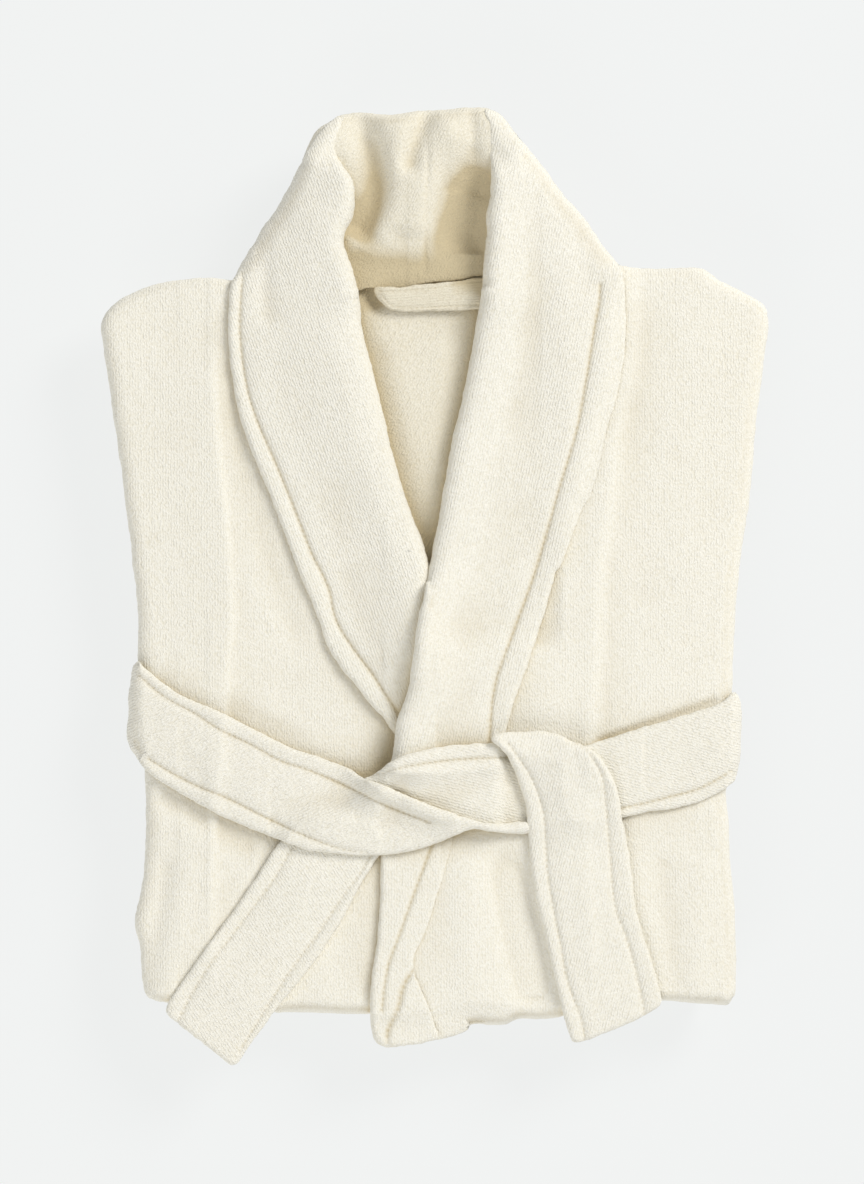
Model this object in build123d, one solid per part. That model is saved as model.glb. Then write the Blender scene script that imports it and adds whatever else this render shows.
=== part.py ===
from build123d import *
import os

os.makedirs("parts", exist_ok=True)

# Folded bathrobe, millimetres. +X is the wearer's left, +Y is towards the collar,
# +Z is up from the surface that the folded robe lies on.

# ---- driving dimensions -------------------------------------------------
PLY = 3.3                 # one layer of pressed terry
GAP = 0.4                 # clearance between parts that move on each other
HEM_TOP = 3 * PLY         # last third: back, right front, left front
POCKET = 2.3              # patch pocket thickness
SKIRT_LOW = HEM_TOP + GAP
SKIRT_TOP = SKIRT_LOW + POCKET + 3 * PLY
FOLD_Z = SKIRT_TOP + GAP / 2          # height of the lower fold's hinge line
BODY_LOW = SKIRT_TOP + GAP
SLEEVE = 6.4              # a flattened sleeve, two layers
BELT_T = 5.6              # belt thickness, two layers and its seams
BACK_RUN = 3.2            # belt behind the body, pressed flat
FLAP_LOW = BODY_LOW + SLEEVE + BACK_RUN
Z_FRONT_FLAP = FLAP_LOW + PLY
Z_BACK_FLAP = Z_FRONT_FLAP + PLY
Z_BACK = Z_BACK_FLAP + PLY            # top of the back panel
Z_RIGHT = Z_BACK + PLY                # top of the right front
Z_LEFT = Z_RIGHT + PLY                # top of the left front
LAPEL = 6.6               # collar leaf, two layers
FOLD_Y = -262.8           # lower fold's hinge line
HEM_FOLD_Y = 156.0        # upper fold's hinge line
HEM_FOLD_Z = HEM_TOP + GAP / 2
BELT_W = 57.6             # belt width


def plan(points, z0, z1):
    """An upright prism on a plan outline."""
    wire = Wire.make_polygon([Vector(x, y, z0) for x, y in points], close=True)
    return Part() + Solid.extrude(Face(wire), Vector(0, 0, z1 - z0))


def along_y(points, y0, y1):
    """A prism along Y on an X-Z outline."""
    wire = Wire.make_polygon([Vector(x, y0, z) for x, z in points], close=True)
    return Part() + Solid.extrude(Face(wire), Vector(0, y1 - y0, 0))


def along_x(points, x0, x1):
    """A prism along X on a Y-Z outline."""
    wire = Wire.make_polygon([Vector(x0, y, z) for y, z in points], close=True)
    return Part() + Solid.extrude(Face(wire), Vector(x1 - x0, 0, 0))


def band(line, t):
    """An X-Z (or Y-Z) line thickened upwards by t."""
    return list(line) + [(a, b + t) for a, b in reversed(line)]


def keep(node, *solids):
    """Writes one sub-part as a STEP file."""
    found = []
    for s in solids:
        found += list(s.solids())
    shape = found[0] if len(found) == 1 else Compound(children=found)
    export_step(shape, f"parts/{node}.step")
    print(node, len(found), round(sum(s.volume for s in found) / 1000, 1), "cm3")


# ---- plan outlines ------------------------------------------------------
# Upper third of the body, seen from above.
BODY = [(-119.4, 181.2), (-157.2, 181.2), (-180.0, 174.0), (-190.2, 167.4), (-196.8, 160.8), (-198.0, 153.6), (-196.2, 141.0),
    (-189.6, 95.4), (-185.4, 67.2), (-181.2, 34.8), (-177.6, 3.6), (-175.8, -32.4), (-175.8, -104.4), (-172.2, -141.0),
    (-172.8, -177.0), (-174.6, -219.0), (-171.0, -239.4), (-73.2, -242.4), (-37.8, -243.6), (75.0, -243.6), (135.6, -239.4),
    (176.4, -239.4), (177.6, -219.6), (177.0, -192.6), (175.2, -164.4), (172.2, -122.4), (172.2, -62.4), (177.6, -32.4),
    (179.4, 1.8), (182.4, 25.2), (186.6, 54.0), (190.2, 100.2), (195.0, 132.6), (198.0, 153.6), (196.2, 164.4),
    (183.6, 174.0), (171.6, 180.0), (159.0, 186.6), (143.4, 188.4), (114.0, 188.4), (75.0, 180.6), (27.0, 181.8),
    (-37.8, 177.6), (-81.0, 177.6)]
# The front edge, neckline to hem, of each front.
RIGHT_CUT = [(-119.4, 189.6), (-87.0, 189.6), (-61.2, 171.6), (-55.8, 144.6), (-48.0, 114.6), (-34.2, 69.6), (-21.0, 27.6),
    (-10.2, -8.4), (-6.6, -38.4), (75.0, -44.4), (75.0, -308.4), (-225.0, -308.4), (-225.0, 189.6)]
LEFT_CUT = [(123.0, 194.4), (57.0, 192.0), (39.0, 171.6), (35.4, 144.6), (29.4, 114.6), (18.6, 81.6), (10.2, 39.6),
    (5.4, 3.6), (-1.8, -32.4), (-10.2, -68.4), (-16.2, -95.4), (12.0, -152.4), (3.0, -180.0), (-5.4, -206.4),
    (-11.4, -230.4), (-6.0, -243.6), (-6.0, -308.4), (219.0, -308.4), (219.0, 194.4)]
FACING = [(-24.6, -93.6), (-16.8, -95.4), (11.4, -152.4), (2.4, -180.0), (-6.0, -206.4), (-12.0, -230.4), (-6.6, -243.6),
    (21.0, -248.4), (21.0, -266.4), (3.0, -272.4), (-11.4, -273.6), (-29.4, -276.6), (-34.2, -272.4), (-37.2, -262.8),
    (-38.4, -238.2), (-34.8, -213.6), (-33.0, -189.6), (-32.4, -162.6)]
# The middle of the folded flaps left open behind.
BETWEEN = [(-63.0, 231.6), (63.0, 231.6), (63.0, -308.4), (-63.0, -308.4)]

RIGHT_LAPEL = [(-96.6, 223.2), (-107.4, 207.6), (-117.0, 186.0), (-122.4, 173.4), (-124.2, 147.6), (-121.2, 121.2), (-109.2, 78.6),
    (-89.4, 28.8), (-74.4, -8.4), (-63.0, -39.0), (-51.0, -55.8), (-33.0, -77.4), (-25.8, -86.4), (-16.8, -62.4),
    (-9.0, -32.4), (-4.2, -6.0), (-4.8, 15.6), (-21.0, 63.6), (-36.0, 122.4), (-43.8, 152.4), (-46.8, 180.0),
    (-54.6, 201.6), (-49.8, 218.4), (-48.0, 228.6)]
RIGHT_LAPEL_HIGH = [(-87.0, 223.2), (-100.2, 194.4), (-99.0, 159.6), (-90.0, 111.6), (-63.0, 45.6), (-37.8, -8.4), (-21.0, -41.4),
    (-12.0, -32.4), (-6.6, -6.0), (-7.2, 15.6), (-23.4, 63.6), (-38.4, 122.4), (-46.2, 152.4), (-49.2, 180.0),
    (-56.4, 201.6), (-52.2, 218.4), (-51.0, 228.6)]
RIGHT_BAND = [(-117.0, 186.0), (-122.4, 173.4), (-124.2, 147.6), (-121.2, 121.2), (-109.2, 78.6), (-89.4, 28.8), (-74.4, -8.4),
    (-63.0, -39.0), (-51.0, -55.8), (-33.0, -77.4), (-25.8, -86.4), (-21.6, -76.8), (-29.4, -65.4), (-38.4, -51.6),
    (-48.0, -39.0), (-59.4, -20.4), (-66.6, -2.4), (-81.0, 33.6), (-97.8, 76.8), (-111.6, 120.0), (-115.8, 147.6),
    (-115.2, 173.4), (-112.2, 183.6)]
LEFT_LAPEL = [(76.2, 236.4), (93.0, 217.2), (108.0, 196.2), (112.8, 190.8), (115.8, 157.2), (112.2, 122.4), (106.2, 99.6),
    (99.0, 63.6), (89.4, 48.6), (82.8, 27.6), (73.8, 8.4), (65.4, -17.4), (56.4, -45.0), (48.6, -66.6),
    (43.8, -85.2), (3.0, -91.2), (-21.0, -85.2), (-13.8, -51.6), (-9.0, -19.2), (-0.6, 21.6), (9.0, 81.6),
    (15.6, 109.2), (22.2, 136.8), (26.4, 164.4), (29.4, 189.6), (31.2, 211.8), (31.8, 228.6)]
LEFT_LAPEL_HIGH = [(73.8, 228.6), (90.0, 207.6), (99.0, 183.6), (97.2, 153.6), (93.0, 123.6), (82.2, 87.6), (67.8, 39.6),
    (53.4, -8.4), (39.0, -50.4), (3.0, -62.4), (-9.0, -51.6), (-5.4, -19.2), (3.0, 21.6), (12.6, 81.6),
    (19.2, 109.2), (25.8, 136.8), (30.0, 164.4), (32.4, 189.6), (33.6, 211.8), (34.8, 228.6)]
LEFT_BAND = [(99.0, 63.6), (89.4, 48.6), (82.8, 27.6), (73.8, 8.4), (65.4, -17.4), (56.4, -45.0), (48.6, -66.6),
    (43.8, -85.2), (34.2, -86.4), (39.0, -62.4), (47.4, -39.6), (56.4, -13.2), (64.8, 12.0), (73.8, 33.6),
    (81.0, 51.6), (91.8, 69.6)]
COLLAR_BACK = [(-96.6, 223.8), (-87.0, 241.2), (-81.6, 252.0), (-75.6, 262.2), (-64.2, 277.8), (-55.8, 283.2), (-42.0, 285.0),
    (-18.6, 283.8), (18.6, 287.4), (34.2, 286.8), (41.4, 281.4), (48.0, 271.8), (58.8, 259.8), (67.2, 249.0),
    (75.6, 237.0), (73.2, 194.4), (57.0, 194.4), (35.4, 194.4), (31.8, 229.2), (34.2, 261.6), (31.2, 274.8),
    (-49.8, 274.8), (-59.4, 258.0), (-49.8, 242.4), (-47.4, 229.2), (-54.0, 207.6), (-81.0, 194.4), (-96.0, 194.4)]
COLLAR_INSIDE = [(-57.0, 256.8), (-47.4, 272.4), (29.4, 272.4), (32.4, 261.6), (30.0, 229.2), (29.4, 211.8), (27.0, 192.0),
    (27.6, 183.6), (-38.4, 178.8), (-45.0, 180.0), (-52.8, 201.6), (-47.4, 218.4), (-45.6, 229.2), (-48.0, 243.6)]
COLLAR_FALL = [(-94.2, 223.8), (-83.4, 243.6), (-62.4, 276.6), (-54.0, 281.4), (-18.6, 282.0), (18.6, 285.0), (33.0, 284.4),
    (39.6, 280.2), (57.0, 258.0), (75.0, 234.0), (99.0, 202.8), (99.0, 186.6), (-117.0, 183.6), (-103.8, 207.6)]

SLEEVE_RIGHT = [(-171.0, 153.6), (-24.0, 153.6), (-33.0, -8.4), (-54.0, -140.4), (-138.0, -140.4), (-165.0, 15.6)]
CUFF_RIGHT = [(-139.2, -141.6), (-52.8, -141.6), (-55.2, -224.4), (-136.8, -224.4)]
SLEEVE_LEFT = [(163.8, 153.6), (24.0, 153.6), (33.0, -8.4), (54.0, -140.4), (138.0, -140.4), (162.0, 15.6)]
CUFF_LEFT = [(52.8, -141.6), (139.2, -141.6), (136.8, -224.4), (55.2, -224.4)]

BELT_RIGHT = [(-195.0, -32.4), (-180.0, -38.4), (-176.4, -47.4), (-166.2, -55.8), (-151.2, -66.0), (-128.4, -75.6), (-97.2, -91.8),
    (-69.6, -102.6), (-43.2, -114.6), (-12.6, -127.2), (7.2, -134.4), (27.6, -141.0), (33.0, -146.4), (13.2, -148.8),
    (4.2, -152.4), (-33.0, -162.0), (-74.4, -158.4), (-93.6, -152.4), (-131.4, -136.2), (-160.2, -120.0), (-174.0, -109.8),
    (-180.0, -102.6), (-195.0, -92.4)]
BELT_LEFT = [(97.2, -94.8), (106.2, -90.6), (123.0, -85.2), (139.8, -80.4), (158.4, -74.4), (173.4, -68.4), (192.0, -61.2),
    (192.0, -122.4), (178.2, -117.6), (160.8, -129.0), (141.6, -133.8), (130.2, -134.4), (99.0, -144.0)]
KNOT = [(-41.4, -115.2), (-37.2, -113.4), (-25.8, -103.2), (-6.0, -97.8), (13.8, -94.8), (31.8, -94.2), (41.4, -110.4),
    (48.0, -141.6), (39.0, -145.2), (25.8, -141.0), (7.2, -134.4), (-12.6, -127.2)]
TAIL_RIGHT = [(-91.2, -156.0), (-35.4, -164.4), (-45.0, -181.2), (-54.6, -198.0), (-75.6, -229.8), (-91.2, -248.4), (-106.2, -268.8),
    (-115.8, -282.6), (-120.6, -287.4), (-127.8, -283.8), (-141.6, -272.4), (-155.4, -261.0), (-160.2, -256.2), (-152.4, -238.2),
    (-136.8, -216.0), (-121.8, -195.6), (-105.0, -171.0)]
TAIL_LEFT = [(33.6, -90.6), (40.8, -87.6), (58.8, -87.0), (72.0, -88.2), (81.0, -92.4), (91.8, -96.6), (98.4, -102.0),
    (104.4, -111.0), (109.8, -124.2), (112.2, -139.8), (116.4, -160.8), (120.6, -192.6), (126.0, -213.0), (131.4, -229.8),
    (135.6, -247.2), (123.6, -258.6), (104.4, -267.0), (90.6, -271.8), (82.2, -273.6), (78.0, -261.0), (73.8, -243.6),
    (68.4, -219.6), (63.0, -198.0), (58.8, -178.8), (56.4, -156.6), (54.6, -134.4), (49.8, -116.4), (45.0, -105.6),
    (39.6, -96.6)]

# ---- the body's upper third ---------------------------------------------
body_full = lambda z0, z1: plan(BODY, z0, z1)
inner = [(-119.4, 171.6), (-157.2, 171.6), (-177.0, 165.6), (-189.0, 157.2), (-190.8, 151.2), (-187.8, 135.6), (-180.6, 87.6),
    (-176.4, 57.6), (-172.2, 21.6), (-169.8, -8.4), (-169.2, -38.4), (-169.2, -104.4), (-166.2, -141.0), (-166.2, -177.0),
    (-167.4, -219.0), (-166.2, -308.4), (169.8, -308.4), (169.2, -219.6), (168.6, -192.6), (167.4, -164.4), (164.4, -122.4),
    (164.4, -62.4), (169.8, -32.4), (171.6, 1.8), (174.6, 25.2), (178.8, 54.0), (182.4, 100.2), (186.6, 132.6),
    (189.0, 153.6), (187.8, 159.6), (180.0, 165.6), (168.0, 171.6), (156.6, 178.8), (143.4, 180.0), (114.0, 180.0),
    (75.0, 177.6), (27.0, 178.2), (-37.8, 174.0), (-81.0, 171.6)]

# Back panel: its sides are folded behind, so it wraps round both edges.
back = body_full(Z_FRONT_FLAP, Z_BACK) & plan(inner, 0, 100)
back = back - plan(BETWEEN, Z_FRONT_FLAP - 1, Z_BACK_FLAP)
keep("back_panel", back)


def front(cut, top, side):
    """A front: a top layer cut to its neckline and edge, carried round the side fold and under as a flap."""
    layer = body_full(top - PLY, top) & plan(cut, 0, 100)
    flap = body_full(FLAP_LOW, Z_FRONT_FLAP) & plan(side, 0, 100)
    wall = (body_full(FLAP_LOW, top) & plan(side, 0, 100)) - plan(inner, 0, 100)
    return layer + flap + wall


RIGHT_SIDE = [(-225.0, 194.4), (-54.0, 194.4), (-54.0, 164.4), (-64.2, 63.6), (-64.2, -308.4), (-225.0, -308.4)]
LEFT_SIDE = [(219.0, 194.4), (42.0, 194.4), (42.0, 164.4), (64.2, 63.6), (64.2, -308.4), (219.0, -308.4)]
right_front = front(RIGHT_CUT, Z_RIGHT, RIGHT_SIDE)
# Past the under front's hidden edge the over front drops on to the back panel.
drop = body_full(Z_BACK, Z_RIGHT) & plan([(76.2, 194.4), (219.0, 194.4), (219.0, -308.4), (76.2, -308.4)], 0, 100) & plan(LEFT_CUT, 0, 100)
left_front = front(LEFT_CUT, Z_LEFT, LEFT_SIDE) + drop
keep("right_front", right_front)
keep("left_front", left_front)
keep("left_front_facing", plan(FACING, Z_RIGHT, Z_LEFT + 2.0))

# ---- sleeves folded behind, with turned-back cuffs ----------------------
# They lie over the belt's back run and the two belt loops, so they make room for them.
room = plan([(-225.0, -38.4), (219.0, -56.4), (219.0, -123.6), (-225.0, -105.6)], BODY_LOW + SLEEVE - 0.2, FLAP_LOW + 1)


def belt_loop(x, y):
    """A cloth loop on a side seam, round the belt's back run."""
    z0 = BODY_LOW + SLEEVE - 1.8
    z1 = BODY_LOW + SLEEVE - 0.3
    top = FLAP_LOW
    return along_x([(y - 33, top), (y - 33, z0), (y + 33, z0), (y + 33, top), (y + 30.5, top), (y + 30.5, z1),
                    (y - 30.5, z1), (y - 30.5, top)], x - 4.0, x + 4.0)


def loop_room(x, y):
    return plan([(x - 5, y - 34.5), (x + 5, y - 34.5), (x + 5, y + 34.5), (x - 5, y + 34.5)], BODY_LOW + SLEEVE - 2.2, FLAP_LOW + 1)


LOOP_X = 66.0
space = room + loop_room(-LOOP_X, -78.0) + loop_room(LOOP_X, -84.5)
keep("belt_loops", belt_loop(-LOOP_X, -78.0), belt_loop(LOOP_X, -84.5))
keep("right_sleeve", plan(SLEEVE_RIGHT, BODY_LOW, FLAP_LOW) - space)
keep("left_sleeve", plan(SLEEVE_LEFT, BODY_LOW, FLAP_LOW) - space)
keep("right_cuff", plan(CUFF_RIGHT, BODY_LOW, FLAP_LOW))
keep("left_cuff", plan(CUFF_LEFT, BODY_LOW, FLAP_LOW))

# ---- collar --------------------------------------------------------------
right_leaf = plan(RIGHT_LAPEL, Z_RIGHT, Z_RIGHT + LAPEL) + plan(RIGHT_LAPEL_HIGH, Z_RIGHT + 1, Z_RIGHT + 14.5)
right_leaf = right_leaf - plan(RIGHT_BAND, 0, 100) - plan(LEFT_LAPEL, 0, 100)
keep("right_lapel", right_leaf)
keep("right_lapel_band", plan(RIGHT_BAND, Z_RIGHT, Z_RIGHT + LAPEL + 1.4) - plan(LEFT_LAPEL, 0, 100))
left_leaf = plan(LEFT_LAPEL, Z_LEFT, Z_LEFT + LAPEL) + plan(LEFT_LAPEL_HIGH, Z_LEFT + 1, Z_LEFT + 14.5)
left_leaf = left_leaf - plan(LEFT_BAND, 0, 100)
keep("left_lapel", left_leaf)
keep("left_lapel_band", plan(LEFT_BAND, Z_LEFT, Z_LEFT + LAPEL + 1.4))

# The roll round the back of the neck, the stand inside it and the fall behind.
roll = plan(COLLAR_BACK, 33.5, Z_RIGHT + 13.5) - plan(RIGHT_LAPEL, Z_RIGHT, 100) - plan(LEFT_LAPEL, Z_LEFT, 100) - plan(RIGHT_BAND, Z_RIGHT, 100)
roll = roll - plan(RIGHT_LAPEL_HIGH, Z_RIGHT, 100) - plan(LEFT_LAPEL_HIGH, Z_LEFT, 100)
keep("collar_roll", roll)
stand_line = [(178.0, Z_BACK), (192.0, Z_BACK + 0.2), (225.0, Z_BACK + 3.6), (262.0, Z_BACK + 8.5), (290.0, Z_BACK + 10.5),
              (290.0, 33.6), (178.0, 33.6)]
stand = (plan(COLLAR_INSIDE, 33.6, 80) & along_x(stand_line, -120, 120)) - roll - body_full(0, Z_BACK)
keep("collar_stand", stand)
keep("collar_fall", plan(COLLAR_FALL, BODY_LOW + 0.6, 33.3) - body_full(0, 100))

# ---- hanger loop ----------------------------------------------------------
LOOP_T = 2.6
LOOP_RISE = 5.2
loop_line = [(-36.5, Z_BACK + 0.3), (-31.5, Z_BACK + 0.3), (-28.5, Z_BACK + LOOP_RISE), (14.5, Z_BACK + LOOP_RISE),
             (18.0, Z_BACK + 0.3), (22.0, Z_BACK + 0.3)]
LOOP_PLAN = [(-36.5, 180.0), (-34.0, 173.5), (-28.0, 166.5), (0.0, 165.2), (22.0, 166.0), (22.0, 183.5), (-5.0, 182.0), (-36.5, 181.0)]
keep("hanger_loop", along_y(band(loop_line, LOOP_T), 150, 200) & plan(LOOP_PLAN, 0, 100))

# ---- belt -----------------------------------------------------------------
# It lies over the fronts, goes round both side folds and behind the body.
low_r = [(-179.0, FLAP_LOW - BACK_RUN), (-179.0, Z_RIGHT + 0.6), (-95.0, Z_RIGHT + 6.6),
         (-30.0, Z_LEFT + 6.2), (60.0, Z_LEFT + 6.2), (60.0, Z_LEFT + 6.2 + BELT_T), (-30.0, Z_LEFT + 6.2 + BELT_T),
         (-95.0, Z_RIGHT + 6.6 + BELT_T), (-180.0, Z_RIGHT + 0.8 + BELT_T), (-184.5, Z_RIGHT + 2.0), (-184.5, FLAP_LOW - BACK_RUN)]
strand_r = plan(BELT_RIGHT, 0, 100) & along_y(low_r, -200, 0)
low_l = [(176.5, FLAP_LOW - BACK_RUN), (181.5, FLAP_LOW - BACK_RUN), (181.5, Z_LEFT + 2.0), (176.0, Z_LEFT + 0.8 + BELT_T),
         (110.0, Z_LEFT + 6.2 + BELT_T), (90.0, Z_LEFT + 6.2 + BELT_T), (90.0, Z_LEFT + 6.2), (110.0, Z_LEFT + 6.2), (175.0, Z_LEFT + 0.6)]
strand_l = plan(BELT_LEFT, 0, 100) & along_y(low_l, -200, 0)
keep("belt_right_strand", strand_r)
keep("belt_left_strand", strand_l)
keep("belt_back_run", plan([(-178.8, -46.8), (175.8, -63.6), (175.8, -116.4), (-178.8, -97.2)], BODY_LOW + SLEEVE, FLAP_LOW))
KNOT_Z = Z_LEFT + 6.2 + BELT_T
core = plan([(33.6, -99.6), (96.6, -97.2), (96.6, -144.0), (34.2, -146.4)], Z_LEFT + 0.3, KNOT_Z + 0.6)
keep("belt_knot", plan(KNOT, KNOT_Z, KNOT_Z + BELT_T + 0.6) + core)

# Belt tails.
keep("belt_tail_right", plan(TAIL_RIGHT, Z_RIGHT + 0.3, Z_RIGHT + 0.3 + BELT_T))
tail_line = [(-86.5, KNOT_Z + 0.9), (-149.0, KNOT_Z + 0.9), (-160.0, KNOT_Z - 3.0), (-172.0, Z_LEFT + 0.3), (-290.0, Z_LEFT + 0.3),
             (-290.0, Z_LEFT + 0.3 + BELT_T), (-176.0, Z_LEFT + 0.3 + BELT_T), (-152.0, KNOT_Z + 0.9 + BELT_T), (-110.0, KNOT_Z + 3.4 + BELT_T), (-90.0, KNOT_Z + 2.4 + BELT_T), (-86.5, KNOT_Z + 5.0)]
keep("belt_tail_left", plan(TAIL_LEFT, 0, 120) & along_x(tail_line, 0, 200))

# ---- folds -----------------------------------------------------------------
def bight(points, x0, x1):
    return along_x(points, x0, x1)


LOWER = [(-244.8, 2.5), (-252.0, 4.0), (-258.0, 9.0), (-261.5, 18.0), (-261.5, 30.0), (-258.0, 39.0), (-252.0, 43.5), (-244.8, 44.8)]
keep("lower_fold", bight(LOWER, -168.0, 172.0))
UPPER = [(141.0, 0.8), (146.0, 3.5), (150.0, 8.0), (151.0, 12.0), (150.0, 16.0), (146.0, 20.5), (141.0, SKIRT_TOP - 0.6)]
keep("upper_fold", bight(UPPER, -165.0, 168.0))

# ---- middle third ----------------------------------------------------------
def sheet(x0, x1, y0, y1, z0, z1):
    return plan([(x0, y0), (x1, y0), (x1, y1), (x0, y1)], z0, z1)


SK0, SK1 = -244.4, 140.6
EDGE = -38.0              # the over front's edge
UNDER = 75.0              # the under front's hidden edge
z = SKIRT_LOW + POCKET
keep("skirt_left_front", sheet(EDGE, 170, SK0, SK1, z, z + PLY) + sheet(UNDER + 0.5, 170, SK0, SK1, z, z + 2 * PLY))
keep("skirt_right_front", sheet(-168, UNDER, SK0, SK1, z + PLY, z + 2 * PLY) + sheet(-168, EDGE - 0.5, SK0, SK1, z, z + 2 * PLY))
keep("skirt_back_panel", sheet(-168, 170, SK0, SK1, z + 2 * PLY, SKIRT_TOP))
z = SKIRT_LOW
keep("right_pocket", sheet(-156, -46, -206, -34, z, z + POCKET))
keep("left_pocket", sheet(46, 156, -206, -34, z, z + POCKET))
keep("right_pocket_band", sheet(-156, -46, -228, -206, z, z + POCKET))
keep("left_pocket_band", sheet(46, 156, -228, -206, z, z + POCKET))

# ---- last third -------------------------------------------------------------
H0, H1, HB = -240.0, 140.6, -216.0
keep("hem_back_panel", sheet(-166, 168, HB, H1, 0, PLY))
keep("hem_right_front", sheet(-166, UNDER, HB, H1, PLY, 2 * PLY) + sheet(-166, EDGE - 0.5, HB, H1, PLY, HEM_TOP))
keep("hem_left_front", sheet(EDGE, 168, HB, H1, 2 * PLY, HEM_TOP) + sheet(UNDER + 0.5, 168, HB, H1, PLY, HEM_TOP))
keep("hem_band", sheet(-166, 168, H0, HB, 0, PLY), sheet(-166, UNDER, H0, HB, PLY + 0.1, 2 * PLY), sheet(EDGE, 168, H0, HB, 2 * PLY + 0.1, HEM_TOP))
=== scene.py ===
import bpy, math
import numpy as np
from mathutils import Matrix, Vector
from mathutils.geometry import delaunay_2d_cdt


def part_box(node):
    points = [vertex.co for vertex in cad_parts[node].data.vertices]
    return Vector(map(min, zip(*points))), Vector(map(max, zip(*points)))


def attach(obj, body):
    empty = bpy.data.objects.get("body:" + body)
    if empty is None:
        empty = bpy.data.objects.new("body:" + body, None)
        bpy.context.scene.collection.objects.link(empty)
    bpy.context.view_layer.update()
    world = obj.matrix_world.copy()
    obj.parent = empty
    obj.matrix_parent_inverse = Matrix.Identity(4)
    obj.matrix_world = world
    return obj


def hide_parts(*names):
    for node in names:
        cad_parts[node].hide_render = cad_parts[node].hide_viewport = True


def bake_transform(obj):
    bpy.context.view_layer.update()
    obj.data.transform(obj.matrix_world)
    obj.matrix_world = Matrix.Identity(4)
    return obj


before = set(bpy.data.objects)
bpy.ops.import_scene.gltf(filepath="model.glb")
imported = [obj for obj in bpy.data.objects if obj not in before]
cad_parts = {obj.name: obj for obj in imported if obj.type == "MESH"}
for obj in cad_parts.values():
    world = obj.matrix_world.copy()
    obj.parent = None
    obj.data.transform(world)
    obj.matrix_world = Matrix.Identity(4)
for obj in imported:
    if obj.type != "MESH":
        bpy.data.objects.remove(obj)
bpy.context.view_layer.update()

# ---------------------------------------------------------------------------
# Levels of the stack, in millimetres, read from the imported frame.
# ---------------------------------------------------------------------------
def top(node):
    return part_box(node)[1][2] * 1000.0


def low(node):
    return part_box(node)[0][2] * 1000.0


Z_BACK = top("back_panel")
Z_RIGHT = top("right_front")
Z_LEFT = top("left_front")
FLAP_LOW = low("right_front")
BODY_LOW = low("right_sleeve")
Z_BACK_LOW = Z_BACK - 3.3
SK_TOP = top("skirt_back_panel")
SK_LOW = low("right_pocket")
SK_FRONT = low("skirt_left_front")
HEM_TOP = top("hem_left_front")
FOLD_Z = 0.5 * (SK_TOP + BODY_LOW)

# ---------------------------------------------------------------------------
# Camera, lights, floor
# ---------------------------------------------------------------------------
scene = bpy.context.scene
scene.view_settings.view_transform = "Standard"
scene.view_settings.look = "None"
scene.view_settings.exposure = 0.0
scene.view_settings.gamma = 1.0

cam_data = bpy.data.cameras.new("camera")
cam = bpy.data.objects.new("camera", cam_data)
scene.collection.objects.link(cam)
CAM_H = 3.0
cam.location = (-0.0018, -0.0036, CAM_H + 0.048)
cam_data.sensor_fit = "VERTICAL"
cam_data.sensor_height = 24.0
cam_data.lens = 24.0 * CAM_H / 0.7104
cam_data.clip_end = 20.0
scene.camera = cam


def light(name, loc, aim, size, power, colour):
    d = bpy.data.lights.new(name, "AREA")
    d.shape = "SQUARE"
    d.size = size
    d.energy = power
    d.color = colour
    o = bpy.data.objects.new(name, d)
    scene.collection.objects.link(o)
    o.location = loc
    o.rotation_euler = (Vector(aim) - Vector(loc)).to_track_quat("-Z", "Y").to_euler()
    return o


light("key", (2.3, 2.1, 2.5), (0.0, 0.0, 0.03), 1.5, 106.5, (1.0, 0.995, 0.985))
light("fill", (-0.9, -2.2, 1.6), (0.0, 0.0, 0.03), 1.6, 27.0, (0.99, 0.995, 1.0))

world = bpy.data.worlds.new("studio")
scene.world = world
world.use_nodes = True
bg = world.node_tree.nodes["Background"]
bg.inputs["Color"].default_value = (0.93, 0.945, 0.96, 1.0)
bg.inputs["Strength"].default_value = 0.512


def new_material(name):
    m = bpy.data.materials.new(name)
    m.use_nodes = True
    nt = m.node_tree
    nt.nodes.clear()
    out = nt.nodes.new("ShaderNodeOutputMaterial")
    b = nt.nodes.new("ShaderNodeBsdfPrincipled")
    nt.links.new(b.outputs["BSDF"], out.inputs["Surface"])
    return m, nt, b


floor_mesh = bpy.data.meshes.new("floor")
floor_mesh.from_pydata([(-4, -4, -0.0006), (4, -4, -0.0006), (4, 4, -0.0006), (-4, 4, -0.0006)], [], [(0, 1, 2, 3)])
floor = bpy.data.objects.new("floor", floor_mesh)
scene.collection.objects.link(floor)
fm, fnt, fb = new_material("floor_pale")
fb.inputs["Base Color"].default_value = (0.10, 0.10, 0.10, 1)
fb.inputs["Roughness"].default_value = 0.9
fb.inputs["Specular IOR Level"].default_value = 0.0
fb.inputs["Emission Color"].default_value = (0.985, 1.0, 0.992, 1)
fb.inputs["Emission Strength"].default_value = 0.79
floor_mesh.materials.append(fm)

# ---------------------------------------------------------------------------
# Terry cloth materials
# ---------------------------------------------------------------------------
# warm, darker colour painted into the hollows of the stack as shade
PAINTED_SHADE_COLOUR = (0.60, 0.505, 0.325)


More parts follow.
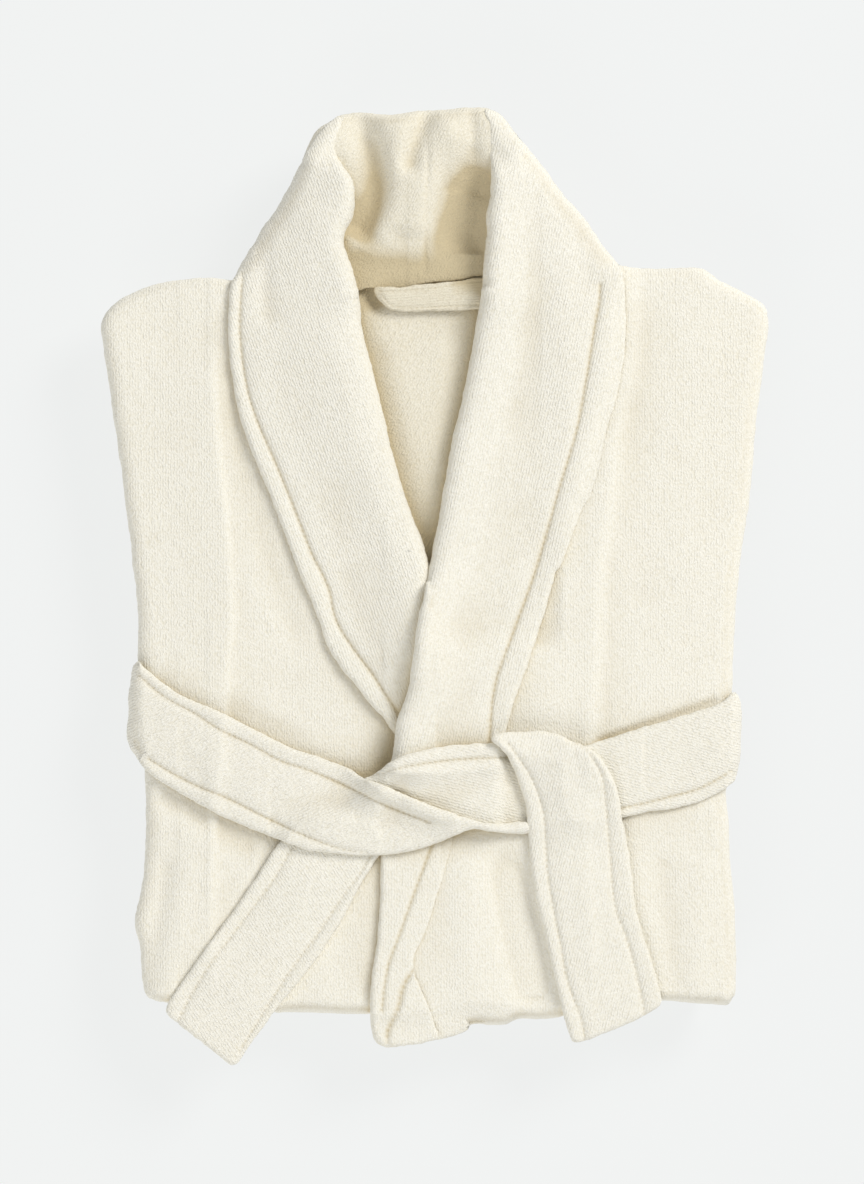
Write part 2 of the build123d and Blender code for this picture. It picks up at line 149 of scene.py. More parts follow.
def terry(name, colour, shade, grain=0.0, loop=1.0, rib=1.0, rough=0.95, sheen=0.2, bump=0.62):
    """Uncut cotton terry: small loops in faint ribs along the warp, with slow changes of tone."""
    m, nt, b = new_material(name)
    N, L = nt.nodes, nt.links

    def node(kind, **values):
        n = N.new(kind)
        for k, v in values.items():
            if k in n.inputs:
                n.inputs[k].default_value = v
            else:
                setattr(n, k, v)
        return n

    co = node("ShaderNodeTexCoord")
    mp = node("ShaderNodeMapping")
    mp.inputs["Rotation"].default_value = (0, 0, grain)
    L.new(co.outputs["Object"], mp.inputs["Vector"])
    # loops: stretched along the warp
    st = node("ShaderNodeMapping")
    st.inputs["Scale"].default_value = (1.0, 0.72, 1.0)
    L.new(mp.outputs["Vector"], st.inputs["Vector"])
    v = node("ShaderNodeTexVoronoi", Scale=860.0 * loop, Randomness=0.9)
    v.feature = "SMOOTH_F1"
    v.inputs["Smoothness"].default_value = 0.35
    L.new(st.outputs["Vector"], v.inputs["Vector"])
    n1 = node("ShaderNodeTexNoise", Scale=780.0 * loop, Detail=3.0, Roughness=0.6)
    L.new(st.outputs["Vector"], n1.inputs["Vector"])
    wv = node("ShaderNodeTexWave", Scale=190.0, Distortion=3.2, Detail=2.0)
    wv.inputs["Detail Scale"].default_value = 3.0
    wv.wave_type = "BANDS"
    wv.bands_direction = "X"
    L.new(mp.outputs["Vector"], wv.inputs["Vector"])
    slow = node("ShaderNodeTexNoise", Scale=14.0, Detail=3.0, Roughness=0.55)
    L.new(co.outputs["Object"], slow.inputs["Vector"])
    mid = node("ShaderNodeTexNoise", Scale=120.0, Detail=2.0, Roughness=0.5)
    L.new(co.outputs["Object"], mid.inputs["Vector"])

    def maths(op, a, c):
        n = N.new("ShaderNodeMath")
        n.operation = op
        for i, x in enumerate((a, c)):
            if hasattr(x, "links"):
                L.new(x, n.inputs[i])
            else:
                n.inputs[i].default_value = x
        return n.outputs[0]

    dome = maths("SUBTRACT", 1.0, v.outputs["Distance"])
    h = maths("MULTIPLY", dome, 0.62)
    h = maths("ADD", h, maths("MULTIPLY", n1.outputs["Fac"], 0.55))
    h = maths("ADD", h, maths("MULTIPLY", wv.outputs["Fac"], 0.34 * rib))
    h = maths("ADD", h, maths("MULTIPLY", mid.outputs["Fac"], 0.04))
    bp = node("ShaderNodeBump", Strength=bump, Distance=0.0011)
    L.new(h, bp.inputs["Height"])
    L.new(bp.outputs["Normal"], b.inputs["Normal"])
    # colour: hollows between loops are a little deeper in tone
    ramp = N.new("ShaderNodeValToRGB")
    ramp.color_ramp.elements[0].position = 0.28
    ramp.color_ramp.elements[0].color = (*shade, 1)
    ramp.color_ramp.elements[1].position = 0.70
    ramp.color_ramp.elements[1].color = (*colour, 1)
    tone = maths("ADD", maths("MULTIPLY", dome, 0.45), maths("MULTIPLY", n1.outputs["Fac"], 0.45))
    tone = maths("ADD", tone, maths("MULTIPLY", slow.outputs["Fac"], 0.06))
    tone = maths("ADD", tone, maths("MULTIPLY", wv.outputs["Fac"], 0.08 * rib))
    L.new(tone, ramp.inputs["Fac"])
    # painted shade: hollows of the stack, where light reaches the cloth only off more cloth, are painted warm and
    # darker; stitch marks are mixed in the same way
    at = node("ShaderNodeAttribute")
    at.attribute_name = "painted_shade_and_stitches"
    mix = N.new("ShaderNodeMix")
    mix.data_type = "RGBA"
    L.new(at.outputs["Fac"], mix.inputs["Factor"])
    L.new(ramp.outputs["Color"], mix.inputs[6])
    mix.inputs[7].default_value = (*PAINTED_SHADE_COLOUR, 1)
    L.new(mix.outputs[2], b.inputs["Base Color"])
    r = maths("ADD", maths("MULTIPLY", n1.outputs["Fac"], 0.1), rough - 0.06)
    L.new(r, b.inputs["Roughness"])
    b.inputs["Specular IOR Level"].default_value = 0.15
    b.inputs["Sheen Weight"].default_value = sheen
    b.inputs["Sheen Roughness"].default_value = 0.6
    return m


CREAM = (0.928, 0.898, 0.808)
CREAM_LOW = (0.83, 0.78, 0.645)
M_BODY = terry("terry_body", CREAM, CREAM_LOW, rib=0.5)
M_COLLAR_R = terry("terry_collar_right", CREAM, CREAM_LOW, grain=-0.35)
M_COLLAR_L = terry("terry_collar_left", CREAM, CREAM_LOW, grain=0.22)
M_BELT_R = terry("terry_belt_right", CREAM, CREAM_LOW, grain=1.15)
M_BELT_L = terry("terry_belt_left", CREAM, CREAM_LOW, grain=-1.3)
M_TAIL_R = terry("terry_tail_right", CREAM, CREAM_LOW, grain=-0.6)
M_TAIL_L = terry("terry_tail_left", CREAM, CREAM_LOW, grain=0.25)
# painted shade: the back panel and collar stand inside the neck use a darker copy of the cream terry for the shade
# there
M_INNER_PAINTED_SHADE = terry("terry_inner_painted_shade", (0.885, 0.84, 0.72), (0.77, 0.71, 0.56), rib=0.6, grain=0.5)
# painted shade: the hanger loop uses a still darker copy of the cream terry for the shade it lies in inside the neck
M_LOOP_PAINTED_SHADE = terry("loop_cloth", (0.83, 0.775, 0.63), (0.69, 0.62, 0.47), grain=1.5, loop=1.35, rib=1.6, bump=0.4)

# ---------------------------------------------------------------------------
# Plan tools: a 1 mm raster of the robe seen from above, and lines on it
# ---------------------------------------------------------------------------
X0, X1, Y0, Y1 = -216, 216, -302, 302
NX, NY = X1 - X0 + 1, Y1 - Y0 + 1
GX, GY = np.meshgrid(np.arange(X0, X1 + 1.0), np.arange(Y0, Y1 + 1.0))


def sample(F, x, y):
    u = np.clip(x - X0, 0, NX - 1.001)
    v = np.clip(y - Y0, 0, NY - 1.001)
    i, j = u.astype(int), v.astype(int)
    a, b = u - i, v - j
    return (F[j, i] * (1 - a) * (1 - b) + F[j, i + 1] * a * (1 - b) + F[j + 1, i] * (1 - a) * b + F[j + 1, i + 1] * a * b)


def blur(F, s):
    """Gaussian blur with edge repeat."""
    n = max(1, int(3 * s))
    k = np.exp(-0.5 * (np.arange(-n, n + 1) / s) ** 2)
    k /= k.sum()
    P = np.pad(F, ((n, n), (0, 0)), mode="edge")
    G = sum(k[i] * P[i:i + F.shape[0]] for i in range(2 * n + 1))
    P = np.pad(G, ((0, 0), (n, n)), mode="edge")
    return sum(k[i] * P[:, i:i + F.shape[1]] for i in range(2 * n + 1))


def noise_field(seed, s, amp):
    """A seeded smooth random field of scale s mm and standard deviation amp."""
    r = np.random.default_rng(seed)
    n = max(1, int(s / 2))
    c = r.standard_normal((NY // n + 4, NX // n + 4))
    if n > 1:
        c = blur(c, s / n / 1.2)
        yy = np.clip((GY - Y0) / n, 0, c.shape[0] - 1.001)
        xx = np.clip((GX - X0) / n, 0, c.shape[1] - 1.001)
        i, j = yy.astype(int), xx.astype(int)
        a, b = yy - i, xx - j
        a, b = a * a * (3 - 2 * a), b * b * (3 - 2 * b)
        f = c[i, j] * (1 - a) * (1 - b) + c[i + 1, j] * a * (1 - b) + c[i, j + 1] * (1 - a) * b + c[i + 1, j + 1] * a * b
    else:
        f = blur(c, s / 1.2)[:NY, :NX]
    return f / f.std() * amp


def spline(points, step=1.0, closed=True, soft=1):
    """A smooth line through the points, resampled evenly."""
    P = np.array(points, float)
    n = len(P)
    idx = range(n if closed else n - 1)
    out = []
    for i in idx:
        p1, p2 = P[i], P[(i + 1) % n]
        p0 = P[i - 1] if (closed or i > 0) else 2 * p1 - p2
        p3 = P[(i + 2) % n] if (closed or i + 2 < n) else 2 * p2 - p1
        m = max(2, int(np.hypot(*(p2 - p1)) / 0.6))
        t = np.arange(m) / m
        d01 = max(np.hypot(*(p1 - p0)), 1e-6) ** 0.5
        d12 = max(np.hypot(*(p2 - p1)), 1e-6) ** 0.5
        d23 = max(np.hypot(*(p3 - p2)), 1e-6) ** 0.5
        m1 = (p2 - p1) + d12 * ((p1 - p0) / d01 - (p2 - p0) / (d01 + d12))
        m2 = (p2 - p1) + d12 * ((p3 - p2) / d23 - (p3 - p1) / (d12 + d23))
        t = t[:, None]
        out.append((2 * t**3 - 3 * t**2 + 1) * p1 + (t**3 - 2 * t**2 + t) * m1 + (-2 * t**3 + 3 * t**2) * p2 + (t**3 - t**2) * m2)
    Q = np.vstack(out + ([] if closed else [P[-1:]]))
    if closed:
        Q = np.vstack([Q, Q[:1]])
    s = np.concatenate([[0], np.cumsum(np.hypot(*np.diff(Q, axis=0).T))])
    k = max(4, int(round(s[-1] / step)))
    u = np.linspace(0, s[-1], k + 1)
    R = np.column_stack([np.interp(u, s, Q[:, 0]), np.interp(u, s, Q[:, 1])])
    if closed:
        R = R[:-1]
        for _ in range(soft):
            R = 0.5 * R + 0.25 * (np.roll(R, 1, 0) + np.roll(R, -1, 0))
    return R


def area2(Q):
    return 0.5 * np.sum(Q[:, 0] * np.roll(Q[:, 1], -1) - np.roll(Q[:, 0], -1) * Q[:, 1])


def near(P, Q, closed):
    """Distance from points P to the line Q, the side (+1 left), and the place along it (0 to 1)."""
    P = np.asarray(P, float)
    m = len(Q)
    Qf = Q.astype(np.float32)
    q2 = (Qf**2).sum(1)
    best = np.empty(len(P), int)
    for a in range(0, len(P), 6000):
        p = P[a:a + 6000].astype(np.float32)
        best[a:a + 6000] = np.argmin(q2[None] - 2 * p @ Qf.T, axis=1)
    D = np.full(len(P), 1e9)
    S = np.zeros(len(P))
    T = np.zeros(len(P))
    for off in (-1, 0):
        i = best + off
        j = i + 1
        if closed:
            i, j = i % m, j % m
            ok = np.ones(len(P), bool)
        else:
            ok = (i >= 0) & (j < m)
            i, j = np.clip(i, 0, m - 1), np.clip(j, 0, m - 1)
        A, B = Q[i], Q[j]
        AB = B - A
        L2 = np.maximum((AB**2).sum(1), 1e-12)
        t = np.clip(((P - A) * AB).sum(1) / L2, 0, 1)
        V = P - (A + t[:, None] * AB)
        d = np.hypot(V[:, 0], V[:, 1])
        take = ok & (d < D)
        D[take] = d[take]
        cr = AB[:, 0] * (P[:, 1] - A[:, 1]) - AB[:, 1] * (P[:, 0] - A[:, 0])
        S[take] = np.sign(cr[take])
        T[take] = ((best + off + t) / max(m - 1, 1))[take]
    return D, S, T


class Line:
    """An open line on the plan, for a ridge, a groove or a step."""

    def __init__(self, pts, step=1.0):
        self.q = spline(pts, step, closed=False)

    def at(self, x, y, reach):
        x, y = np.ravel(x), np.ravel(y)
        D = np.full(len(x), 1e9)
        S = np.zeros(len(x))
        T = np.zeros(len(x))
        lo, hi = self.q.min(0) - reach, self.q.max(0) + reach
        k = np.flatnonzero((x > lo[0]) & (x < hi[0]) & (y > lo[1]) & (y < hi[1]))
        if len(k):
            D[k], S[k], T[k] = near(np.column_stack([x[k], y[k]]), self.q, False)
        return D, S, T


def smooth01(t):
    t = np.clip(t, 0, 1)
    return t * t * (3 - 2 * t)


def ridge(x, y, line, width, height, fade=0.12):
    """A soft ridge (or groove, if height is negative) along a line, fading at both ends."""
    if not isinstance(line, Line):
        line = Line(line)
    D, S, T = line.at(x, y, 3.2 * width)
    g = np.exp(-((D / width) ** 2)) * height
    if fade:
        g = g * smooth01(T / fade) * smooth01((1 - T) / fade)
    return g.reshape(np.shape(x))


def step(x, y, line, width, height, reach, fade=0.1, side=1):
    """A step along a line: the ground on one side rises by height at the line and slopes back over reach."""
    if not isinstance(line, Line):
        line = Line(line)
    D, S, T = line.at(x, y, reach)
    s = D * S * side
    g = 0.5 * (1 + np.tanh(s / width)) * np.exp(-((np.maximum(s, 0) / (0.45 * reach)) ** 2)) * height
    g = np.where(D < reach, g, 0)
    if fade:
        g = g * smooth01(T / fade) * smooth01((1 - T) / fade)
    return g.reshape(np.shape(x))


def rows(Q, ys):
    """For each y, the sorted x where the closed line Q crosses it."""
    A, B = Q, np.roll(Q, -1, 0)
    out = []
    for y in ys:
        k = (A[:, 1] > y) != (B[:, 1] > y)
        a, b = A[k], B[k]
        out.append(np.sort(a[:, 0] + (y - a[:, 1]) * (b[:, 0] - a[:, 0]) / (b[:, 1] - a[:, 1])))
    return out


def mask_of(Q):
    M = np.zeros((NY, NX), bool)
    for j, xs in enumerate(rows(Q, GY[:, 0] + 1e-4)):
        for a, b in zip(xs[0::2], xs[1::2]):
            M[j, (GX[0] >= a) & (GX[0] <= b)] = True
    return M


def grow(F, M, n=7):
    """F inside M, carried n cells past its edge."""
    F = np.where(M, F, 0.0)
    W = M.astype(float)
    for _ in range(n):
        a = np.zeros_like(F)
        w = np.zeros_like(F)
        for dy in (-1, 0, 1):
            for dx in (-1, 0, 1):
                a += np.roll(np.roll(F * W, dy, 0), dx, 1)
                w += np.roll(np.roll(W, dy, 0), dx, 1)
        new = (W == 0) & (w > 0)
        F[new] = a[new] / w[new]
        W[new] = 1.0
    return F


def drape(Z, M, R=22.0, soft=1.2):
    """The underside of a cloth of bending radius R laid on Z inside M: a closing with a paraboloid, which bridges what the cloth is too stiff to follow."""
    n = int(min(26, 2.2 * R**0.5 * 2.2))
    w = np.arange(-n, n + 1)
    p = w.astype(float) ** 2 / (2 * R)
    BIG = 1e4

    def dil(F, sgn):
        for ax in (0, 1):
            P = np.pad(F, [(n, n) if a == ax else (0, 0) for a in (0, 1)], constant_values=-BIG)
            G = np.full_like(F, -BIG)
            for i in range(2 * n + 1):
                sl = [slice(None), slice(None)]
                sl[ax] = slice(i, i + F.shape[ax])
                G = np.maximum(G, P[tuple(sl)] - p[i])
            F = G
        return F

    F = dil(np.where(M, Z, -BIG), 1)
    F = -dil(np.where(M, -F, -BIG), -1)
    F = grow(F, M, 8)
    return np.maximum(blur(F, soft), np.where(M, Z, -BIG))


# ---------------------------------------------------------------------------
# Mesh tools
# ---------------------------------------------------------------------------
def make(name, verts, faces, mat, smooth=True):
    me = bpy.data.meshes.new(name)
    me.from_pydata(np.asarray(verts) / 1000.0 if isinstance(verts, np.ndarray) else verts, [], faces)
    me.materials.append(mat)
    if smooth:
        me.polygons.foreach_set("use_smooth", np.ones(len(me.polygons), bool))
    me.update()
    o = bpy.data.objects.new(name, me)
    scene.collection.objects.link(o)
    return o


def offset_in(Q, d):
    """The closed line Q (counter-clockwise) moved inward by d (one value or one for each point)."""
    T = np.roll(Q, -1, 0) - np.roll(Q, 1, 0)
    T /= np.maximum(np.hypot(T[:, 0], T[:, 1])[:, None], 1e-9)
    N = np.column_stack([-T[:, 1], T[:, 0]])
    return Q + N * np.reshape(d, (-1, 1))


PIECES = {}
UPPER = {}
THREAD = {}
FINE = [noise_field(11, 2.4, 1.0), noise_field(12, 5.0, 1.0), noise_field(13, 14.0, 1.0), noise_field(14, 45.0, 1.0)]


def fuzz(x, y, a=(0.045, 0.02, 0.03, 0.0)):
    """The unevenness of the pile."""
    return sum(k * sample(F, x, y) for k, F in zip(a, FINE) if k)


def pillow(name, outline, ztop, zbot, mat, h=1.5, r=1.6, eq=0.5, stitches=(), creases=(), wall=(), rough=1.0, seed=1,
           fine=None, under_rough=0.4, boundary=None, edge_rough=1.0):
    """A closed piece of cloth from its plan outline. ztop and zbot are functions of x, y. r is the radius of the rim in plan and eq the height of its widest line,
    as numbers or functions of x, y. stitches are (Line, width, depth) grooves with fine mesh along them."""
    Q = boundary if boundary is not None else spline(outline, min(h, 1.3))
    if area2(Q) < 0:
        Q = Q[::-1]
    # the looped edge is never quite straight
    rg = np.random.default_rng(seed + 7000)
    w1, w2 = rg.standard_normal(len(Q)), rg.standard_normal(len(Q))
    for _ in range(10):
        w2 = 0.5 * w2 + 0.25 * (np.roll(w2, 1) + np.roll(w2, -1))
    w1 = 0.6 * w1 + 0.2 * (np.roll(w1, 1) + np.roll(w1, -1))
    Q = offset_in(Q, 0.16 * edge_rough * w1 + 0.14 * edge_rough * w2 / max(w2.std(), 1e-6))
    rr = np.full(len(Q), float(r)) if not callable(r) else r(Q[:, 0], Q[:, 1])
    for _ in range(6):
        rr = 0.5 * rr + 0.25 * (np.roll(rr, 1) + np.roll(rr, -1))
    pts, dist, rad = [Q], [np.zeros(len(Q))], [rr]
    last = 0.0
    for th in (24, 44, 64, 90):
        dk = rr * (1 - math.cos(math.radians(th)))
        P = offset_in(Q, dk)
        D, S, T = near(P, Q, True)
        ok = (D > 0.9 * dk) & (S > 0)
        gap = dk - last > 0.12
        ok &= gap
        pts.append(P[ok])
        dist.append(D[ok])
        rad.append(rr[ok])
        last = np.where(gap, dk, last)
    # rows of points inside
    ys = np.arange(Q[:, 1].min() + 0.3 * h, Q[:, 1].max(), h * 0.866)
    rng = np.random.default_rng(seed)
    inner = []
    for j, xs in enumerate(rows(Q, ys)):
        for a, b in zip(xs[0::2], xs[1::2]):
            x = np.arange(math.ceil(a / h) * h + (0.5 * h if j % 2 else 0.0), b, h)
            if len(x):
                inner.append(np.column_stack([x, np.full(len(x), ys[j])]))
    I = np.vstack(inner)
    I += rng.uniform(-0.12, 0.12, I.shape) * h
    D, S, T = near(I, Q, True)
    ri = rr[np.clip((T * (len(Q) - 1)).astype(int), 0, len(Q) - 1)]
    ok = (D > ri + 0.55 * h) | ((D > 0.8 * h) & (ri > 4.5) & False)
    big = (ri > 3.5) & (D > 0.75 * h) & (D <= ri + 0.55 * h)
    I, D, ri = I[ok], D[ok], ri[ok]
    extra = []
    for ln, w, dep in stitches:
        q = ln.q
        T2 = np.gradient(q, axis=0)
        T2 /= np.maximum(np.hypot(T2[:, 0], T2[:, 1])[:, None], 1e-9)
        Nn = np.column_stack([-T2[:, 1], T2[:, 0]])
        for o in (-1.9 * w, -0.9 * w, 0, 0.9 * w, 1.9 * w):
            extra.append(q + Nn * o)
    for ln, w in wall:
        q = ln.q
        T2 = np.gradient(q, axis=0)
        T2 /= np.maximum(np.hypot(T2[:, 0], T2[:, 1])[:, None], 1e-9)
        Nn = np.column_stack([-T2[:, 1], T2[:, 0]])
        for o in (-w, w):
            extra.append(q + Nn * o)
    if extra:
        E = np.vstack(extra)
        De, Se, Te = near(E, Q, True)
        re = rr[np.clip((Te * (len(Q) - 1)).astype(int), 0, len(Q) - 1)]
        ok = (Se > 0) & (De > re + 0.3)
        E, De, re = E[ok], De[ok], re[ok]
        # keep the loose points away from the fine ones
        keepers = np.ones(len(I), bool)
        if len(E):
            cell = {}
            key = np.floor(E / 1.0).astype(int)
            M = set(map(tuple, key))
            ki = np.floor(I / 1.0).astype(int)
            keepers = np.array([tuple(k) not in M for k in ki])
        I, D, ri = I[keepers], D[keepers], ri[keepers]
        pts.append(E)
        dist.append(De)
        rad.append(re)
    pts.append(I)
    dist.append(D)
    rad.append(ri)
    P = np.vstack(pts)
    d = np.concatenate(dist)
    R = np.concatenate(rad)
    nb = len(Q)
    res = delaunay_2d_cdt([Vector(p) for p in P], [(i, (i + 1) % nb) for i in range(nb)], [], 1, 1e-5)
    V2 = np.array([(v[0], v[1]) for v in res[0]])
    tri = np.array([f for f in res[2] if len(f) == 3], int)
    orig = np.array([o[0] if len(o) else -1 for o in res[3]], int)
    dd = np.where(orig >= 0, d[orig], 1.0)
    RR = np.where(orig >= 0, R[orig], 2.0)
    onb = (orig >= 0) & (orig < nb)
    a, b, c = V2[tri[:, 0]], V2[tri[:, 1]], V2[tri[:, 2]]
    cr = (b[:, 0] - a[:, 0]) * (c[:, 1] - a[:, 1]) - (b[:, 1] - a[:, 1]) * (c[:, 0] - a[:, 0])
    tri[cr < 0] = tri[cr < 0][:, ::-1]
    used = np.zeros(len(V2), bool)
    used[tri.ravel()] = True
    x, y = V2[:, 0], V2[:, 1]
    zt, zb = ztop(x, y), zbot(x, y)
    thread = np.zeros(len(x))
    for ln, w, dep in stitches:
        zt = zt + ridge(x, y, ln, w, -dep, fade=0)
        Dl, Sl, Tl = ln.at(x, y, 4.0)
        s_mm = Tl * len(ln.q)
        thread = np.maximum(thread, np.exp(-((Dl / (0.75 * w)) ** 2)) * (0.5 + 0.5 * np.sin(2 * math.pi * s_mm / 3.6)))
    for ln, w, hgt in creases:
        zt = zt + ridge(x, y, ln, w, hgt)
    nz = fuzz(x, y) if fine is None else fuzz(x, y, fine)
    zt = zt + nz * rough
    zb = zb - fuzz(x + 31.0, -y) * under_rough
    zt = np.maximum(zt, zb + 0.3)
    e = eq(x, y) if callable(eq) else eq
    ze = zb + (zt - zb) * e
    q = np.clip(dd / np.maximum(RR, 1e-6), 0, 1)
    f = np.sqrt(np.maximum(0, 1 - (1 - q) ** 2))
    f[onb] = 0
    T3 = ze + (zt - ze) * f
    B3 = ze - (ze - zb) * f
    # number the vertices: top ones, then bottom ones that are not on the rim
    nt = len(V2)
    bi = np.arange(nt)
    free = ~onb
    bi[free] = nt + np.arange(free.sum())
    verts = np.vstack([np.column_stack([x, y, T3]), np.column_stack([x[free], y[free], B3[free]])])
    jit = rng.normal(0, 0.03 * rough, verts.shape)
    jit[:, 2] *= 0.6
    verts += jit
    faces = np.vstack([tri, bi[tri][:, ::-1]])
    # drop vertices that no face uses
    use = np.zeros(len(verts), bool)
    use[faces.ravel()] = True
    new = np.cumsum(use) - 1
    o = make(name, verts[use], new[faces].tolist(), mat)
    PIECES[name] = o
    up = np.concatenate([np.ones(nt), np.zeros(free.sum())])[use]
    UPPER[name] = up
    THREAD[name] = np.concatenate([thread, np.zeros(free.sum())])[use]
    return o


def const(z):
    return lambda x, y: np.full(np.shape(x), float(z))


def field(F, add=0.0):
    return lambda x, y: sample(F, x, y) + add


def place(o, body, slot, *nodes):
    if body:
        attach(o, body)
    if nodes:
        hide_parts(*nodes)
    return o

# ---------------------------------------------------------------------------
# Plan outlines in millimetres, laid out from the middle of the CAD's back panel
# ---------------------------------------------------------------------------
_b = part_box("back_panel")
DX = 500.0 * (_b[0][0] + _b[1][0]) - -0.9
DY = 500.0 * (_b[0][1] + _b[1][1]) - -31.8


def P(pts):
    return [(x + DX, y + DY) for x, y in pts]


SEAM_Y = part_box("skirt_back_panel")[0][1] * 1000.0

RIGHT_FRONT = P([(-120.6, 184.2), (-136.2, 185.4), (-157.2, 183.6), (-171.6, 180.6), (-181.8, 176.4), (-192.6, 169.8), (-198.6, 163.2), (-201.0, 156.6), (-199.2, 141.0), (-196.2, 121.2), (-192.6, 95.4), (-188.4, 67.2), (-184.2, 34.8), (-180.6, 3.6), (-178.8, -19.2), (-178.8, -37.8), (-177.6, -68.4), (-175.2, -104.4), (-174.0, -141.0), (-175.8, -177.0), (-180.6, -201.6), (-177.0, -219.0), (-175.8, -238.2), (-172.2, -249.0), (-159.6, -252.0), (-135.0, -254.4), (-98.4, -257.4), (-73.2, -257.4), (-54.6, -258.6), (-37.8, -258.6), (-9.0, -257.4), (21.0, -251.4), (75.0, -248.4), (75.0, -44.4), (-6.6, -38.4), (-13.8, -8.4), (-21.0, 15.6), (-36.0, 63.6), (-49.8, 114.6), (-57.0, 144.6), (-63.0, 171.6), (-87.0, 187.2)])
LEFT_FRONT = P([(112.8, 192.6), (118.8, 191.4), (130.8, 190.8), (143.4, 191.4), (156.6, 191.4), (162.6, 190.2), (171.6, 183.6), (183.6, 177.6), (195.0, 171.0), (199.2, 166.8), (200.4, 159.6), (199.2, 144.6), (197.4, 132.6), (195.6, 117.6), (193.2, 100.2), (189.6, 54.0), (185.4, 28.2), (182.4, 1.8), (180.0, -30.6), (178.8, -69.6), (180.0, -104.4), (175.2, -122.4), (176.4, -140.4), (177.6, -164.4), (180.0, -192.6), (181.2, -219.6), (180.0, -247.2), (177.6, -252.6), (165.0, -252.6), (151.2, -251.4), (135.6, -250.2), (99.0, -255.6), (75.0, -260.4), (62.4, -261.6), (49.8, -261.6), (43.8, -264.6), (31.2, -265.2), (24.0, -264.6), (16.2, -268.8), (3.0, -272.4), (-11.4, -273.6), (-17.4, -276.0), (-29.4, -277.2), (-34.8, -274.8), (-37.8, -268.8), (-38.4, -238.2), (-34.8, -213.6), (-33.0, -189.6), (-32.4, -162.6), (-28.2, -128.4), (-25.8, -102.0), (-18.6, -85.2), (-9.0, -68.4), (0.6, -32.4), (9.0, 15.6), (21.0, 81.6), (31.8, 114.6), (37.8, 144.6), (42.0, 171.6), (60.0, 189.6)])
FACING_BAND = P([(-30.0, -146.4), (-32.4, -162.6), (-33.0, -189.6), (-34.8, -213.6), (-38.4, -238.2), (-37.8, -266.4), (-34.8, -273.0), (-29.4, -276.0), (-21.0, -276.0), (-6.0, -274.2), (1.8, -271.2), (-0.6, -261.6), (-6.6, -246.0), (-12.0, -232.2), (-12.6, -223.2), (-5.4, -206.4), (3.0, -180.0), (10.2, -153.6), (12.6, -137.4)])
STAND = P([(-70.2, 274.8), (-63.0, 279.0), (-55.8, 283.2), (-49.2, 284.4), (-42.0, 285.0), (-34.8, 283.8), (-27.0, 283.2), (-18.6, 283.8), (-9.0, 285.6), (4.8, 286.2), (18.6, 287.4), (28.2, 287.4), (34.2, 286.2), (41.4, 280.8), (48.0, 271.8), (53.4, 261.6), (53.4, 231.6), (42.0, 180.6), (27.6, 186.0), (13.2, 183.6), (-1.2, 182.4), (-11.4, 180.6), (-21.6, 179.4), (-38.4, 179.4), (-51.0, 177.0), (-65.4, 180.6), (-77.4, 201.6), (-81.0, 231.6), (-79.8, 255.6)])
LEAF_R = P([(-54.6, 282.6), (-63.0, 278.4), (-70.8, 270.0), (-75.6, 262.2), (-81.6, 252.0), (-87.0, 241.2), (-93.0, 231.0), (-96.6, 224.4), (-102.6, 217.2), (-107.4, 208.8), (-112.8, 200.4), (-118.2, 190.8), (-121.8, 183.6), (-123.6, 173.4), (-124.2, 159.0), (-123.6, 138.0), (-121.2, 121.2), (-117.6, 102.6), (-109.2, 78.6), (-100.8, 58.8), (-89.4, 28.8), (-79.8, 3.6), (-74.4, -8.4), (-70.2, -19.2), (-63.0, -39.0), (-51.0, -55.8), (-40.8, -68.4), (-30.6, -79.8), (-22.2, -89.4), (-13.8, -77.4), (-6.6, -56.4), (-1.8, -32.4), (-0.6, -8.4), (-4.2, 15.6), (-21.0, 63.6), (-36.0, 123.6), (-43.8, 154.2), (-45.0, 169.8), (-46.8, 180.0), (-49.2, 189.0), (-51.6, 197.4), (-54.6, 204.0), (-54.0, 211.8), (-49.8, 219.6), (-48.0, 227.4), (-48.0, 234.6), (-49.2, 242.4), (-54.0, 250.2), (-58.2, 256.8), (-58.8, 265.8), (-55.8, 276.0)])
INNER_R = P([(-53.4, 282.0), (-56.4, 274.8), (-58.8, 265.8), (-57.6, 256.8), (-53.4, 250.2), (-48.6, 242.4), (-47.4, 234.6), (-47.4, 227.4), (-49.2, 219.6), (-53.4, 211.8), (-54.0, 204.0), (-51.0, 197.4), (-48.6, 189.0), (-46.2, 180.0), (-44.4, 169.8), (-43.2, 154.2), (-35.4, 123.6), (-20.4, 63.6), (-3.6, 15.6), (0.6, -8.4), (0.6, -32.4)])
BAND_R = P([(-115.2, 188.4), (-116.4, 173.4), (-117.0, 151.8), (-113.4, 122.4), (-108.0, 102.6), (-97.8, 78.6), (-89.4, 58.8), (-81.0, 37.2), (-74.4, 20.4), (-64.2, -0.6), (-59.4, -20.4), (-48.0, -39.0), (-38.4, -51.6), (-29.4, -65.4), (-21.0, -78.0)])
